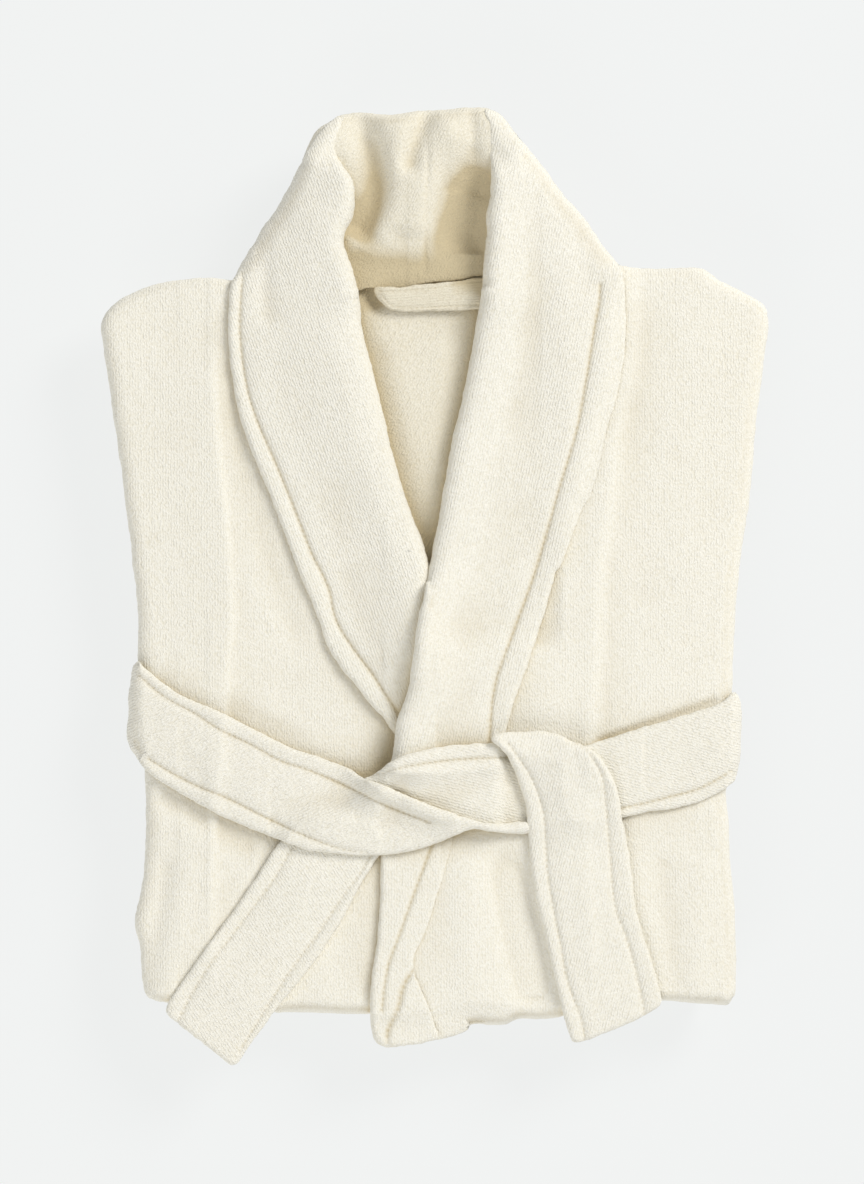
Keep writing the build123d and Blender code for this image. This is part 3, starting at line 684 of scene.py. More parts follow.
LEAF_L = P([(29.4, 285.0), (36.0, 284.4), (40.8, 280.8), (48.0, 271.8), (58.8, 259.8), (67.2, 249.0), (76.2, 236.4), (85.8, 225.6), (93.0, 217.2), (100.2, 205.8), (106.8, 197.4), (111.6, 191.4), (114.0, 175.2), (114.6, 157.2), (113.4, 138.6), (111.0, 122.4), (107.4, 108.0), (104.4, 99.6), (99.0, 75.6), (93.0, 53.4), (89.4, 48.6), (82.8, 31.8), (75.0, 11.4), (72.6, 8.4), (65.4, -17.4), (56.4, -45.0), (48.6, -66.6), (42.0, -89.4), (40.2, -109.2), (21.0, -114.0), (-3.0, -115.2), (-27.0, -112.8), (-25.8, -102.0), (-24.6, -93.6), (-22.2, -78.0), (-17.4, -66.6), (-13.2, -40.8), (-10.2, -19.2), (-4.8, 3.0), (-1.8, 21.0), (3.0, 45.0), (9.0, 81.6), (15.6, 109.2), (21.0, 136.8), (25.8, 164.4), (28.2, 181.2), (29.4, 198.0), (31.2, 211.8), (30.6, 223.2), (33.0, 234.0), (33.6, 243.6), (32.4, 267.0), (31.8, 276.0), (29.4, 281.4)])
INNER_L = P([(27.0, 285.6), (31.2, 277.2), (32.4, 267.0), (33.6, 243.6), (32.4, 231.6), (30.6, 223.2), (30.6, 211.8), (28.8, 198.0), (27.6, 181.2), (25.2, 164.4), (20.4, 136.8), (15.0, 109.2), (8.4, 81.6), (2.4, 45.0), (-2.4, 21.0), (-5.4, 3.0), (-10.8, -19.2), (-13.8, -40.8), (-18.0, -66.6), (-22.8, -78.0), (-25.2, -93.6), (-27.0, -112.8)])
BAND_L = P([(99.0, 180.6), (98.4, 170.4), (96.0, 157.2), (93.0, 138.6), (90.6, 123.6), (87.0, 103.2), (83.4, 87.6), (74.4, 58.2), (67.2, 32.4), (58.2, 3.0), (46.8, -28.2), (36.0, -59.4), (32.4, -95.4)])
SEAM_L2 = P([(93.0, 53.4), (89.4, 45.6), (82.8, 29.4), (75.0, 8.4), (65.4, -19.8), (56.4, -47.4), (48.6, -68.4), (42.0, -91.2)])
RIDGE_R = P([(111.6, 198.6), (114.6, 175.2), (115.8, 157.2), (114.6, 138.6), (112.2, 122.4), (108.6, 108.0), (106.8, 96.6), (101.4, 47.4), (94.8, 8.4), (94.2, -24.0), (92.4, -63.0), (91.2, -98.4), (90.6, -164.4), (93.0, -248.4)])
RIDGE_L = P([(-132.6, 153.6), (-131.4, 125.4), (-129.6, 102.6), (-129.0, 84.0), (-126.6, 60.0), (-124.2, 39.0), (-121.8, 3.6), (-121.2, -19.2), (-123.0, -43.2), (-123.6, -60.6), (-125.4, -86.4), (-130.2, -137.4), (-131.4, -158.4), (-132.6, -176.4), (-132.0, -224.4), (-131.4, -255.6)])
LOOP = P([(-36.6, 179.4), (-35.4, 174.0), (-31.2, 169.2), (-25.2, 165.6), (-1.2, 165.0), (25.8, 166.2), (32.4, 166.8), (33.0, 183.6), (27.6, 185.4), (13.2, 183.0), (-1.2, 181.8), (-21.6, 179.4)])
BELT_R = P([(-178.2, -45.0), (-173.4, -49.8), (-166.2, -55.8), (-151.2, -66.0), (-137.4, -72.0), (-128.4, -75.6), (-115.8, -82.2), (-97.2, -91.8), (-85.8, -97.2), (-69.6, -102.6), (-51.0, -109.8), (-43.2, -114.6), (-28.2, -120.0), (-12.6, -127.2), (7.2, -134.4), (27.6, -141.0), (39.0, -142.2), (57.0, -142.2), (57.0, -147.6), (34.2, -147.0), (24.0, -145.2), (13.2, -148.8), (3.0, -153.6), (-13.8, -158.4), (-33.0, -161.4), (-54.0, -160.8), (-74.4, -158.4), (-93.6, -152.4), (-117.6, -142.8), (-131.4, -136.2), (-143.4, -129.6), (-160.2, -120.0), (-174.0, -109.8), (-180.0, -102.6), (-183.6, -97.2), (-185.4, -89.4), (-184.8, -77.4), (-184.2, -64.2), (-183.0, -54.6), (-181.8, -48.0)])
BELT_R_TOP = P([(-177.6, -53.4), (-163.8, -65.4), (-143.4, -76.8), (-129.6, -85.8), (-108.6, -96.0), (-93.6, -104.4), (-74.4, -111.0), (-45.6, -123.6), (-28.2, -132.0), (-3.0, -141.6)])
BELT_R_LOW = P([(-183.0, -90.0), (-175.2, -100.8), (-163.8, -108.6), (-146.4, -118.2), (-124.8, -127.2), (-97.2, -141.0), (-76.8, -150.0), (-57.0, -157.2), (-41.4, -159.6)])
BELT_L = P([(75.0, -103.2), (91.8, -95.4), (106.2, -90.6), (123.0, -85.2), (139.8, -80.4), (158.4, -74.4), (173.4, -68.4), (180.0, -63.6), (183.6, -68.4), (184.2, -89.4), (183.0, -107.4), (180.0, -116.4), (160.8, -128.4), (141.6, -133.8), (130.2, -135.0), (112.8, -139.2), (81.0, -141.6)])
BELT_L_LOW = P([(99.0, -137.4), (112.2, -133.2), (126.0, -130.2), (139.8, -126.6), (159.0, -121.2), (178.8, -110.4)])
KNOT = P([(-42.6, -115.8), (-37.2, -113.4), (-25.8, -104.4), (-15.0, -100.2), (-6.0, -97.8), (13.8, -94.8), (33.0, -94.2), (63.0, -93.6), (75.0, -116.4), (72.6, -144.0), (39.0, -146.4), (25.8, -145.2), (7.2, -142.8), (-12.6, -135.6), (-28.2, -128.4)])
KNOT_ST = P([(-38.4, -114.0), (-21.6, -108.6), (0.6, -105.0), (19.8, -103.2), (45.0, -102.6)])
TAIL_R = P([(-81.0, -141.6), (-92.4, -152.4), (-105.0, -171.0), (-121.8, -195.6), (-136.8, -216.0), (-152.4, -238.2), (-159.6, -249.6), (-161.4, -255.0), (-159.6, -258.6), (-155.4, -261.6), (-141.6, -272.4), (-127.8, -283.2), (-121.8, -287.4), (-118.8, -286.2), (-115.8, -282.0), (-106.2, -268.8), (-98.4, -258.0), (-91.2, -248.4), (-75.6, -229.8), (-54.6, -198.0), (-45.0, -179.4), (-37.2, -167.4), (-32.4, -158.4), (-34.2, -145.2), (-54.0, -137.4)])
TAIL_R_S1 = P([(-78.0, -145.2), (-85.2, -156.6), (-98.4, -178.2), (-115.8, -201.6), (-134.4, -226.2), (-146.4, -245.4), (-154.2, -261.6)])
TAIL_R_S2 = P([(-35.4, -156.0), (-45.0, -172.2), (-54.6, -185.4), (-73.2, -212.4), (-85.2, -228.6), (-94.8, -243.0), (-117.0, -278.4)])
TAIL_L = P([(33.6, -89.4), (40.8, -87.6), (58.8, -87.0), (72.0, -88.2), (81.0, -92.4), (91.8, -96.6), (98.4, -102.0), (104.4, -111.0), (109.8, -124.2), (112.2, -139.8), (116.4, -160.8), (120.6, -192.6), (126.0, -213.0), (131.4, -229.8), (135.6, -246.6), (135.6, -250.2), (123.6, -258.6), (104.4, -267.0), (90.6, -272.4), (82.8, -273.6), (81.6, -271.2), (78.0, -261.0), (73.8, -243.6), (68.4, -219.6), (63.0, -198.0), (58.8, -178.8), (56.4, -156.6), (54.6, -134.4), (49.8, -116.4), (45.0, -105.6), (39.6, -97.2), (34.2, -93.0)])
TAIL_L_S1 = P([(43.8, -93.6), (57.0, -113.4), (63.0, -128.4), (65.4, -139.8), (67.2, -170.4), (70.8, -192.6), (75.0, -214.2), (79.2, -236.4), (87.6, -259.8), (90.0, -272.4)])
TAIL_L_S2 = P([(84.0, -93.6), (91.8, -99.6), (99.6, -113.4), (102.0, -129.0), (105.0, -162.0), (108.0, -192.6), (114.0, -208.8), (119.4, -226.8), (123.6, -246.0), (126.0, -258.0)])

# ---------------------------------------------------------------------------
# The height map of the stack, built up layer by layer
# ---------------------------------------------------------------------------
Z = np.full((NY, NX), Z_BACK)
wave = [noise_field(21, 60.0, 1.0), noise_field(22, 34.0, 1.0), noise_field(23, 18.0, 1.0)]


def undulate(a, b, c, k=0):
    return a * np.roll(wave[0], 40 * k) + b * np.roll(wave[1], 55 * k) + c * np.roll(wave[2], 31 * k)


def rim(rules, base):
    """A rim radius or equator that changes round the outline."""
    def f(x, y):
        v = np.full(np.shape(x), float(base))
        for test, val in rules:
            v = np.where(test(x, y), val, v)
        return v
    return f


def lay(T, M, shrink=1):
    """Put a layer's top T inside mask M on the stack."""
    global Z
    m = M.copy()
    for _ in range(shrink):
        m &= np.roll(m, 1, 0) & np.roll(m, -1, 0) & np.roll(m, 1, 1) & np.roll(m, -1, 1)
    Z = np.where(m, np.maximum(T, Z), Z)


def inside_dist(Q, M):
    """Distance from the closed line Q for the raster cells in M."""
    D = np.zeros((NY, NX))
    k = np.nonzero(M)
    d, s, t = near(np.column_stack([GX[k], GY[k]]), Q, True)
    D[k] = d
    return D


def line_dist(pts, M, reach=200.0):
    D = np.full((NY, NX), reach)
    k = np.nonzero(M)
    d, s, t = Line(pts).at(GX[k], GY[k], reach)
    D[k] = np.minimum(d, reach)
    return D


# --- back panel: what shows inside the neck, and the strip behind between the folded sides
BACK = P([(-64, -242), (76, -242), (76, 188.5), (40, 190), (0, 189), (-30, 188), (-64, 188)])
bq = spline(BACK, 1.5, soft=0)
Mb = mask_of(bq)
Fb = np.full((NY, NX), Z_BACK) + undulate(0.25, 0.3, 0.25, 1)
Fb += ridge(GX, GY, P([(-46.2, 178.8), (-41.4, 175.8), (-36.6, 171.6)]), 6.5, -4.2, fade=0) + ridge(GX, GY, P([(-37.8, 153.6), (-30.0, 111.6), (-18.0, 63.6), (-6.6, 15.6)]), 9, -1.6) + ridge(GX, GY, P([(3.0, 153.6), (1.8, 111.6), (0.6, 63.6)]), 10, 0.8)
place(pillow("back_panel_cloth", None, field(Fb), const(top("right_front") - 13.2 + 3.4), M_INNER_PAINTED_SHADE, h=2.0, r=1.6, boundary=bq, seed=101),
      "robe_body", "terry_body", "back_panel")
Z = np.where(Mb, Fb, Z)

# --- right front (the under front): top layer, side fold and the flap behind
side_right = lambda x, y: x < -64.5 + DX
rf_bot = lambda x, y: np.where(y < SEAM_Y - 1.5, FOLD_Z + 0.25, np.where(side_right(x, y), FLAP_LOW + 0.2, Z_BACK + 0.5))
rq = spline(RIGHT_FRONT, 1.5)
Mr = mask_of(rq)
Fr = np.full((NY, NX), Z_RIGHT) + undulate(0.5, 0.35, 0.25, 2)
Fr = np.maximum(Fr, Z + 2.8)
Fr += step(GX, GY, RIDGE_L, 2.0, 2.1, 60, side=-1) + ridge(GX, GY, RIDGE_L, 5, 0.35)
Fr += ridge(GX, GY, P([(-121.8, 153.6), (-120.6, 111.6), (-115.2, 69.6), (-103.8, 27.6), (-87.0, -20.4), (-75.0, -44.4)]), 9, -1.3)
Fr += ridge(GX, GY, P([(-162.0, -158.4), (-165.0, -188.4), (-171.0, -224.4), (-173.4, -248.4)]), 6, -1.4) + ridge(GX, GY, P([(-147.0, -158.4), (-153.0, -188.4), (-157.8, -218.4), (-160.2, -250.2)]), 7, 0.9)
Fr += ridge(GX, GY, P([(-141.0, -62.4), (-117.0, -73.2), (-91.8, -85.8), (-69.0, -94.8)]), 6, -0.9, fade=0.3) + ridge(GX, GY, P([(-171.0, -122.4), (-147.0, -135.6), (-120.0, -151.2), (-103.8, -158.4)]), 8, -2.0)
Fr += ridge(GX, GY, P([(-66.0, -188.4), (-69.0, -218.4), (-67.8, -254.4)]), 10, 0.8)
rf_r = rim([(lambda x, y: x < -140 + DX, 8.5), (lambda x, y: (y > 160 + DY) & (x < -60 + DX), 6.5), (lambda x, y: y < -240 + DY, 7.5)], 1.6)
rf_e = rim([(lambda x, y: y < SEAM_Y - 4, 0.03)], 0.5)
o = pillow("right_front_cloth", None, field(Fr), rf_bot, M_BODY, h=2.05, r=rf_r, eq=rf_e, boundary=rq, seed=102)
place(o, "robe_body", "terry_body", "right_front")
lay(Fr, Mr)

# --- left front (the over front)
lq = spline(LEFT_FRONT, 1.5)
Ml = mask_of(lq)
base = Z.copy()
base[(GX > 77 + DX) & Ml] = Z_RIGHT - 0.4
right_of = Line(RIDGE_R)
Dr, Sr, Tr = right_of.at(GX, GY, 400)
sgn = (Dr * Sr).reshape(GX.shape)      # positive on the left of the line as it runs down, that is on the +X side
lower = smooth01(sgn / 13.0) * np.exp(-np.maximum(sgn, 0) / 70.0) * 2.3
Fl = drape(base, Ml, 30.0) + 3.3 - lower + undulate(0.5, 0.35, 0.25, 3) + 0.9
Fl += ridge(GX, GY, RIDGE_R, 5.0, 0.45)
Fl += ridge(GX, GY, P([(37.8, -150.0), (47.4, -188.4), (56.4, -230.4), (61.8, -266.4)]), 12, -6.2, fade=0.25) + ridge(GX, GY, P([(94.2, -94.8), (123.0, -84.0), (153.0, -73.8), (172.2, -66.6)]), 2.6, -1.9, fade=0.08) + ridge(GX, GY, P([(21.0, -158.4), (18.0, -200.4), (27.0, -260.4)]), 11, 1.3)
Fl += ridge(GX, GY, P([(123.0, 123.6), (120.0, 81.6), (123.0, 39.6), (129.0, -20.4)]), 16, -0.8) + ridge(GX, GY, P([(159.0, -158.4), (159.0, -206.4), (156.0, -248.4)]), 9, 1.0)
Fl += ridge(GX, GY, P([(135.0, -158.4), (139.8, -200.4), (144.0, -248.4)]), 7, -1.2)
lf_r = rim([(lambda x, y: x > 150 + DX, 9.0), (lambda x, y: (y > 160 + DY) & (x > 60 + DX), 6.5), (lambda x, y: y < -238 + DY, 7.5),
            (lambda x, y: (y < -150 + DY) & (x < 0), 3.2)], 2.0)
lf_e = rim([(lambda x, y: (y < SEAM_Y - 4) & (x > 20), 0.03), (lambda x, y: (y < SEAM_Y - 4) & (x <= 20), 0.35)], 0.5)
lf_bot = lambda x, y: np.where(y < SEAM_Y - 1.5, np.where(x > 20, FOLD_Z + 0.25, 42.7), np.where(x > 78.5 + DX, FLAP_LOW + 0.2, sample(grow(Z, Ml, 5), x, y) + 0.3))
o = pillow("left_front_cloth", None, field(grow(Fl, Ml)), lf_bot, M_BODY, h=2.05, r=lf_r, eq=lf_e, boundary=lq, seed=103)
place(o, "robe_body", "terry_body", "left_front")
lay(Fl, Ml)

# --- the facing turned out along the over front's edge below the belt
fq = spline(FACING_BAND, 1.1)
Mf = mask_of(fq)
Ff = drape(np.maximum(Z, Z_LEFT - 1.5), Mf, 14.0) + 1.9 + undulate(0.0, 0.2, 0.25, 4)
st = [(Line(P([(-1.8, -155.4), (-5.4, -165.0), (-12.0, -183.0), (-21.6, -210.0), (-27.6, -226.2), (-30.6, -242.4), (-31.8, -254.4)])), 1.1, 1.3),
      (Line(P([(-13.2, -230.4), (-18.6, -239.4), (-22.8, -255.0), (-28.2, -267.0), (-28.8, -276.0)])), 1.5, 1.8)]
o = pillow("facing_cloth", None, field(grow(Ff, Mf)), field(grow(Z, Mf), 0.1), M_BODY, h=1.5, r=rim([(lambda x, y: x > -20, 2.0)], 3.4), eq=0.3, stitches=st, boundary=fq, seed=104)
place(o, "robe_body", "terry_body", "left_front_facing")
lay(Ff, Mf)

# --- collar stand: the inside of the neck, rising to the roll
sq = spline(STAND, 1.3)
Ms = mask_of(sq)
ys = GY - DY
rise = np.interp(ys, [176, 181, 192, 215, 245, 268, 282, 300], [43.4, 43.6, 44.4, 48.2, 53.2, 56.6, 57.6, 57.8])
Fs = rise + undulate(0.4, 0.2, 0.0, 5)
Fs += ridge(GX, GY, P([(-49.8, 291.6), (-43.8, 274.8), (-38.4, 262.8), (-36.6, 250.8), (-36.6, 235.8), (-42.6, 221.4), (-52.2, 207.6)]), 10, -9.0, fade=0.12)
Fs += ridge(GX, GY, P([(-38.4, 279.6), (-30.0, 261.6), (-25.8, 243.6), (-28.2, 222.6), (-35.4, 204.6)]), 6.5, 2.2)
Fs += ridge(GX, GY, P([(-24.0, 289.2), (-21.0, 270.6), (-16.2, 252.6), (-15.0, 230.4), (-19.8, 207.6)]), 11, 2.8)
Fs += ridge(GX, GY, P([(-1.8, 292.8), (-6.0, 279.6), (-10.8, 268.8), (-14.4, 256.8), (-15.6, 243.6)]), 5.5, -5.0, fade=0.2)
Fs += ridge(GX, GY, P([(23.4, 267.6), (20.4, 246.6), (15.6, 225.6), (12.0, 190.8)]), 15, -8.6, fade=0.3)
Fs += ridge(GX, GY, P([(7.8, 284.4), (11.4, 262.8), (12.6, 241.2)]), 5.5, 1.7, fade=0.2) + ridge(GX, GY, P([(19.8, 289.2), (22.8, 270.6), (22.8, 252.6)]), 4, -2.0, fade=0.25)
Fs += ridge(GX, GY, P([(3.0, 284.4), (3.6, 270.6), (0.6, 252.6), (-5.4, 234.0), (-9.0, 207.6)]), 7, 2.0)
Fs += ridge(GX, GY, P([(30.6, 255.6), (28.2, 234.6), (25.8, 210.6), (24.6, 186.6)]), 8, -4.0, fade=0.25)
Fs += ridge(GX, GY, P([(3.0, 238.8), (12.6, 238.8), (23.4, 237.6), (34.2, 232.8)]), 3, -1.0)
Fs += ridge(GX, GY, P([(-4.8, 270.0), (-4.2, 249.6), (-4.8, 231.6), (-5.4, 207.6), (-6.6, 183.0)]), 1.4, -0.9)
Fs += ridge(GX, GY, P([(-54.0, 200.4), (-33.0, 193.2), (-3.0, 193.2), (27.0, 197.4)]), 9, -1.4)
st_r = rim([(lambda x, y: y > 235 + DY, 9.0)], 1.4)
st_bot = lambda x, y: np.where(y > 200 + DY, 33.7, 43.0)
o = pillow("collar_stand_cloth", None, field(grow(Fs, Ms)), st_bot, M_INNER_PAINTED_SHADE, h=1.35, r=st_r, eq=rim([(lambda x, y: y > 235 + DY, 0.42)], 0.4), boundary=sq, seed=105)
place(o, "robe_body", "terry_collar", "collar_stand")
# the ground that the leaves lie on: the fronts inside the body, the stand and the fall outside it
out = (ys > 172) & (GX > -110 + DX) & (GX < 108 + DX)
_d = np.clip(9.0 - inside_dist(sq, Ms), 0.0, 8.9)
Stand_top = np.where(Ms & (ys > 235), Fs - (9.0 - np.sqrt(81.0 - _d ** 2)), np.where(ys > 235, 49.0, Fs))
Z = np.where(out & ~Mr & ~Ml, np.where(GX < 10, 46.5, 49.5), Z)
lay(Fs, Ms, 2)


def leaf(name, outline, inner, band, extra, mat, nodes, seed, peak, seams=(), soft_edge=0.0, stiff=26.0):
    q = spline(outline, 1.3)
    M = mask_of(q)
    base = np.where(out & M & (ys > 178), np.minimum(Z, 49.0), Z)
    B = drape(base, M, stiff)
    B = np.maximum(blur(grow(B, M, 14), 4.5), np.where(M, base, 0) - 1.0)
    din = line_dist(inner, M)
    dout = inside_dist(q, M)
    fat = peak * np.exp(-((din / 30.0) ** 2))
    fat = fat * (1 - 0.55 * smooth01((ys - 255) / 26.0))
    F = B + 5.4 + fat + undulate(0.35, 0.35, 0.25, seed) - soft_edge * np.exp(-((dout / 7.0) ** 2)) * smooth01((ys - 15) / 40.0) * smooth01((200 - ys) / 35.0) * smooth01((din - 18) / 16.0)
    F = F + extra(GX, GY)
    near_top = smooth01((ys - 246) / 16.0)
    F = F * (1 - near_top) + np.minimum(F, np.minimum(Stand_top + 0.35 + 0.32 * np.maximum(din - 1.5, 0), np.interp(ys, [240, 262, 290], [61.0, 59.4, 58.6]))) * near_top
    D, S, T = Line(band).at(GX, GY, 30)
    D = D.reshape(GX.shape)
    F = F - 0.9 * np.exp(-((D / 3.6) ** 2)) * M
    F = np.where(M, F, 0)
    body_in = mask_of(rq) | mask_of(lq)
    lowb = np.where(body_in | (ys < 178), Z + 0.3, 33.8)
    lowb = np.where(Ms & (ys >= 178) & ~body_in, np.minimum(Fs + 0.3, 52.0), lowb)
    edge = dout < 14
    lowb = np.where(edge & ~body_in & (ys > 178) & (din > 20), 33.8, lowb)
    rr = lambda x, y: np.where(Line(inner).at(x, y, 14)[0] < 6, 9.0 - 7.2 * smooth01((y - DY - 228) / 34.0), np.where(y > 190 + DY, 12.0 - 3.0 * smooth01((y - DY - 225) / 30.0), 3.0))
    ee = lambda x, y: np.where(Line(inner).at(x, y, 14)[0] < 8, 0.45, np.where(y > 184 + DY, 0.42, 0.3))
    o = pillow(name, None, field(grow(F, M)), field(grow(lowb, M)), mat, h=1.45, r=rr, eq=ee,
               stitches=[(Line(band), 1.0, 1.15)] + list(seams), boundary=q, seed=seed + 110)
    place(o, "robe_body", "terry_collar", *nodes)
    lay(F, M, 3)
    return F, M


er = lambda x, y: (ridge(x, y, P([(-96.6, 223.2), (-101.4, 211.8), (-102.6, 198.6), (-102.0, 177.6), (-99.0, 153.6)]), 6, -1.5) + ridge(x, y, P([(-81.0, 246.6), (-84.6, 219.6), (-82.2, 183.6), (-72.0, 123.6), (-51.0, 51.6)]), 16, 1.2)
                   + ridge(x, y, P([(-57.0, 15.6), (-45.0, -20.4), (-30.0, -56.4)]), 10, -0.9))
leaf("right_lapel_cloth", LEAF_R, INNER_R, BAND_R, er, M_COLLAR_R, ("right_lapel", "right_lapel_band"), 6, 9.0)
el = lambda x, y: (ridge(x, y, P([(63.0, 231.6), (75.0, 195.6), (75.0, 153.6), (66.0, 99.6), (51.0, 39.6)]), 14, 1.2) + ridge(x, y, P([(51.0, 243.6), (57.0, 207.6), (54.0, 153.6), (42.0, 87.6)]), 10, -0.9)
                   + ridge(x, y, P([(84.0, 216.6), (90.0, 195.6), (93.0, 171.6)]), 7, -1.0))
leaf("left_lapel_cloth", LEAF_L, INNER_L, BAND_L, el, M_COLLAR_L, ("left_lapel", "left_lapel_band"), 7, 9.0, soft_edge=3.6, stiff=70.0)

# --- hanger loop
hq = spline(LOOP, 1.0)
Mh = mask_of(hq)
Fh = Z_BACK + 4.9 + ridge(GX, GY, P([(-34.2, 173.4), (-3.0, 173.4), (32.4, 174.6)]), 6, 0.8, fade=0.05) - 2.2 * np.exp(-(((GX - DX + 35.5) / 4.5) ** 2))
st = [(Line(P([(-31.2, 173.4), (-27.0, 168.6), (-21.6, 167.4), (-1.2, 167.4), (24.6, 168.6), (31.8, 169.2)])), 0.7, 0.6), (Line(P([(-33.0, 177.0), (-21.6, 177.0), (-1.2, 178.8), (27.6, 183.0), (31.8, 181.8)])), 0.7, 0.6)]
o = pillow("hanger_loop_cloth", None, field(Fh), lambda x, y: np.where(x < -28 + DX, Z_BACK + 0.7, np.where(x < 16 + DX, Z_BACK + 2.2, Z_BACK + 0.7)), M_LOOP_PAINTED_SHADE, h=0.9, r=1.5, eq=0.4, stitches=st, boundary=hq, seed=120)
place(o, "loop", "loop_cloth", "hanger_loop")

# --- belt
def strap(name, outline, stitches, mat, body, slot, nodes, seed, R=17.0, thick=5.2, extra=None, low_rule=None, rr=2.8, ee=0.38, h=1.4, lift=0.25, layit=True, wide=3.3, over=0.0):
    q = spline(outline, 1.15)
    M = mask_of(q)
    B = drape(np.maximum(Z, over), M, R) + lift
    F = B + thick + undulate(0.0, 0.25, 0.3, seed)
    if extra is not None:
        F = F + extra(GX, GY)
    for s in stitches:
        D, S, T = Line(s).at(GX, GY, 14)
        F = F - 0.75 * np.exp(-((D.reshape(GX.shape) / wide) ** 2)) * M
    lowf = field(grow(np.where(M, np.maximum(B, Z + 0.15), 0), M))
    bot = lowf if low_rule is None else (lambda x, y: low_rule(x, y, lowf(x, y)))
    o = pillow(name, None, field(grow(np.where(M, F, 0), M)), bot, mat, h=h, r=rr, eq=ee,
               stitches=[(Line(s), 0.95, 1.0) for s in stitches], boundary=q, seed=seed + 130)
    place(o, body, slot, *nodes)
    if layit:
        keep_still = Z_still.copy() if "tail" in name else None
        lay(F, M, 2)
        if keep_still is None:
            m = M & np.roll(M, 2, 0) & np.roll(M, -2, 0) & np.roll(M, 2, 1) & np.roll(M, -2, 1)
            Z_still[m] = np.maximum(F, Z_still)[m]
    return o, F, M


Z_still = Z.copy()


o, F, M = strap("belt_tail_right_cloth", TAIL_R, [TAIL_R_S1, TAIL_R_S2], M_TAIL_R, None, "terry_belt", (), 8, layit=True, over=Z_RIGHT + 0.4, R=45.0,
                extra=lambda x, y: ridge(x, y, P([(-69.0, -164.4), (-93.0, -206.4), (-126.0, -254.4)]), 12, 0.9))
tail_r = o
o, F, M = strap("belt_knot_cloth", KNOT, [KNOT_ST], M_BELT_L, "robe_body", "terry_belt", ("belt_knot",), 9, thick=6.4,
                extra=lambda x, y: ridge(x, y, P([(-21.0, -122.4), (9.0, -125.4), (51.0, -125.4)]), 14, 1.6) - 4.6 * smooth01((x - 34 - DX) / 11.0))
cap_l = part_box("belt_right_strand")[0][0] * 1000.0
cap_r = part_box("belt_left_strand")[1][0] * 1000.0
z_run = FLAP_LOW - 3.2
end_rr = lambda s: rim([(s, 7.5)], 2.8)
o, F, M = strap("belt_right_strand_cloth", BELT_R, [BELT_R_TOP, BELT_R_LOW], M_BELT_R, "robe_body", "terry_belt", ("belt_right_strand",), 10,
                extra=lambda x, y: ridge(x, y, P([(-171.0, -74.4), (-129.0, -107.4), (-81.0, -128.4), (-45.0, -141.6)]), 13, 0.9) + ridge(x, y, P([(-9.0, -137.4), (12.0, -144.0), (39.0, -145.2)]), 5, -0.8),
                low_rule=lambda x, y, z: np.where(x < -177.6 + DX, z_run, z), rr=end_rr(lambda x, y: x < -176 + DX), ee=rim([(lambda x, y: x < -176 + DX, 0.5)], 0.38))
o, F, M = strap("belt_left_strand_cloth", BELT_L, [BELT_L_LOW], M_BELT_L, "robe_body", "terry_belt", ("belt_left_strand",), 11, thick=4.2,
                extra=lambda x, y: ridge(x, y, P([(99.0, -119.4), (129.0, -107.4), (177.0, -92.4)]), 13, 0.8),
                low_rule=lambda x, y, z: np.where(x > 180.6 + DX, z_run, z), rr=end_rr(lambda x, y: x > 178 + DX), ee=rim([(lambda x, y: x > 178 + DX, 0.5)], 0.38))
o, F, M = strap("belt_tail_left_cloth", TAIL_L, [TAIL_L_S1, TAIL_L_S2], M_TAIL_L, None, "terry_belt", (), 12, R=55.0, thick=5.4, over=Z_LEFT - 1.0,
                extra=lambda x, y: 2.4 * np.exp(-(((y - DY + 100) / 16.0) ** 2)) + ridge(x, y, P([(72.0, -128.4), (84.0, -176.4), (99.0, -224.4), (108.0, -260.4)]), 11, 0.8) + ridge(x, y, P([(81.0, -95.4), (93.0, -128.4), (97.8, -164.4)]), 7, -1.0))
tail_l = o


# ---------------------------------------------------------------------------
# Pieces behind and below
# ---------------------------------------------------------------------------
def rect(x0, x1, y0, y1, c=5.0):
    a, b = min(30.0, 0.3 * (x1 - x0)), min(30.0, 0.3 * (y1 - y0))
    return [(x0 + c, y0), (x0 + a, y0), (0.5 * (x0 + x1), y0), (x1 - a, y0), (x1 - c, y0), (x1, y0 + c), (x1, y0 + b), (x1, 0.5 * (y0 + y1)), (x1, y1 - b),
            (x1, y1 - c), (x1 - c, y1), (x1 - a, y1), (0.5 * (x0 + x1), y1), (x0 + a, y1), (x0 + c, y1), (x0, y1 - c), (x0, y1 - b), (x0, 0.5 * (y0 + y1)), (x0, y0 + b), (x0, y0 + c)]


def poly(points, n=3):
    """A polygon's outline with its corners a little rounded, as a line of close points."""
    p = np.array(points, float)
    out = []
    for i in range(len(p)):
        a, b = p[i], p[(i + 1) % len(p)]
        m = max(2, int(np.hypot(*(b - a)) / 1.6))
        out.append(a + (b - a) * (np.arange(m) / m)[:, None])
    q = np.vstack(out)
    for _ in range(n):
        q = 0.5 * q + 0.25 * (np.roll(q, 1, 0) + np.roll(q, -1, 0))
    return q


def nbox(node):
    a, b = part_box(node)
    return [1000.0 * v for v in (a[0], b[0], a[1], b[1], a[2], b[2])]


def slab(name, node, body, slot, mat, q, zt, zb, seed, h=2.6, r=1.7, eq=0.5, stitches=(), both=1.0, more=()):
    k = noise_field(300 + seed, 40.0, 0.22)
    t = zt if callable(zt) else const(zt)
    b = zb if callable(zb) else const(zb)
    o = pillow(name, None, lambda x, y: t(x, y) + 0.0 * sample(k, x, y), lambda x, y: b(x, y) + sample(np.abs(k), x, y), mat, h=h, r=r, eq=eq,
               stitches=stitches, boundary=q, seed=seed, under_rough=both, rough=0.8)
    return place(o, body, slot, node, *more)


def back_outline(pts):
    return poly(P(pts), 8)


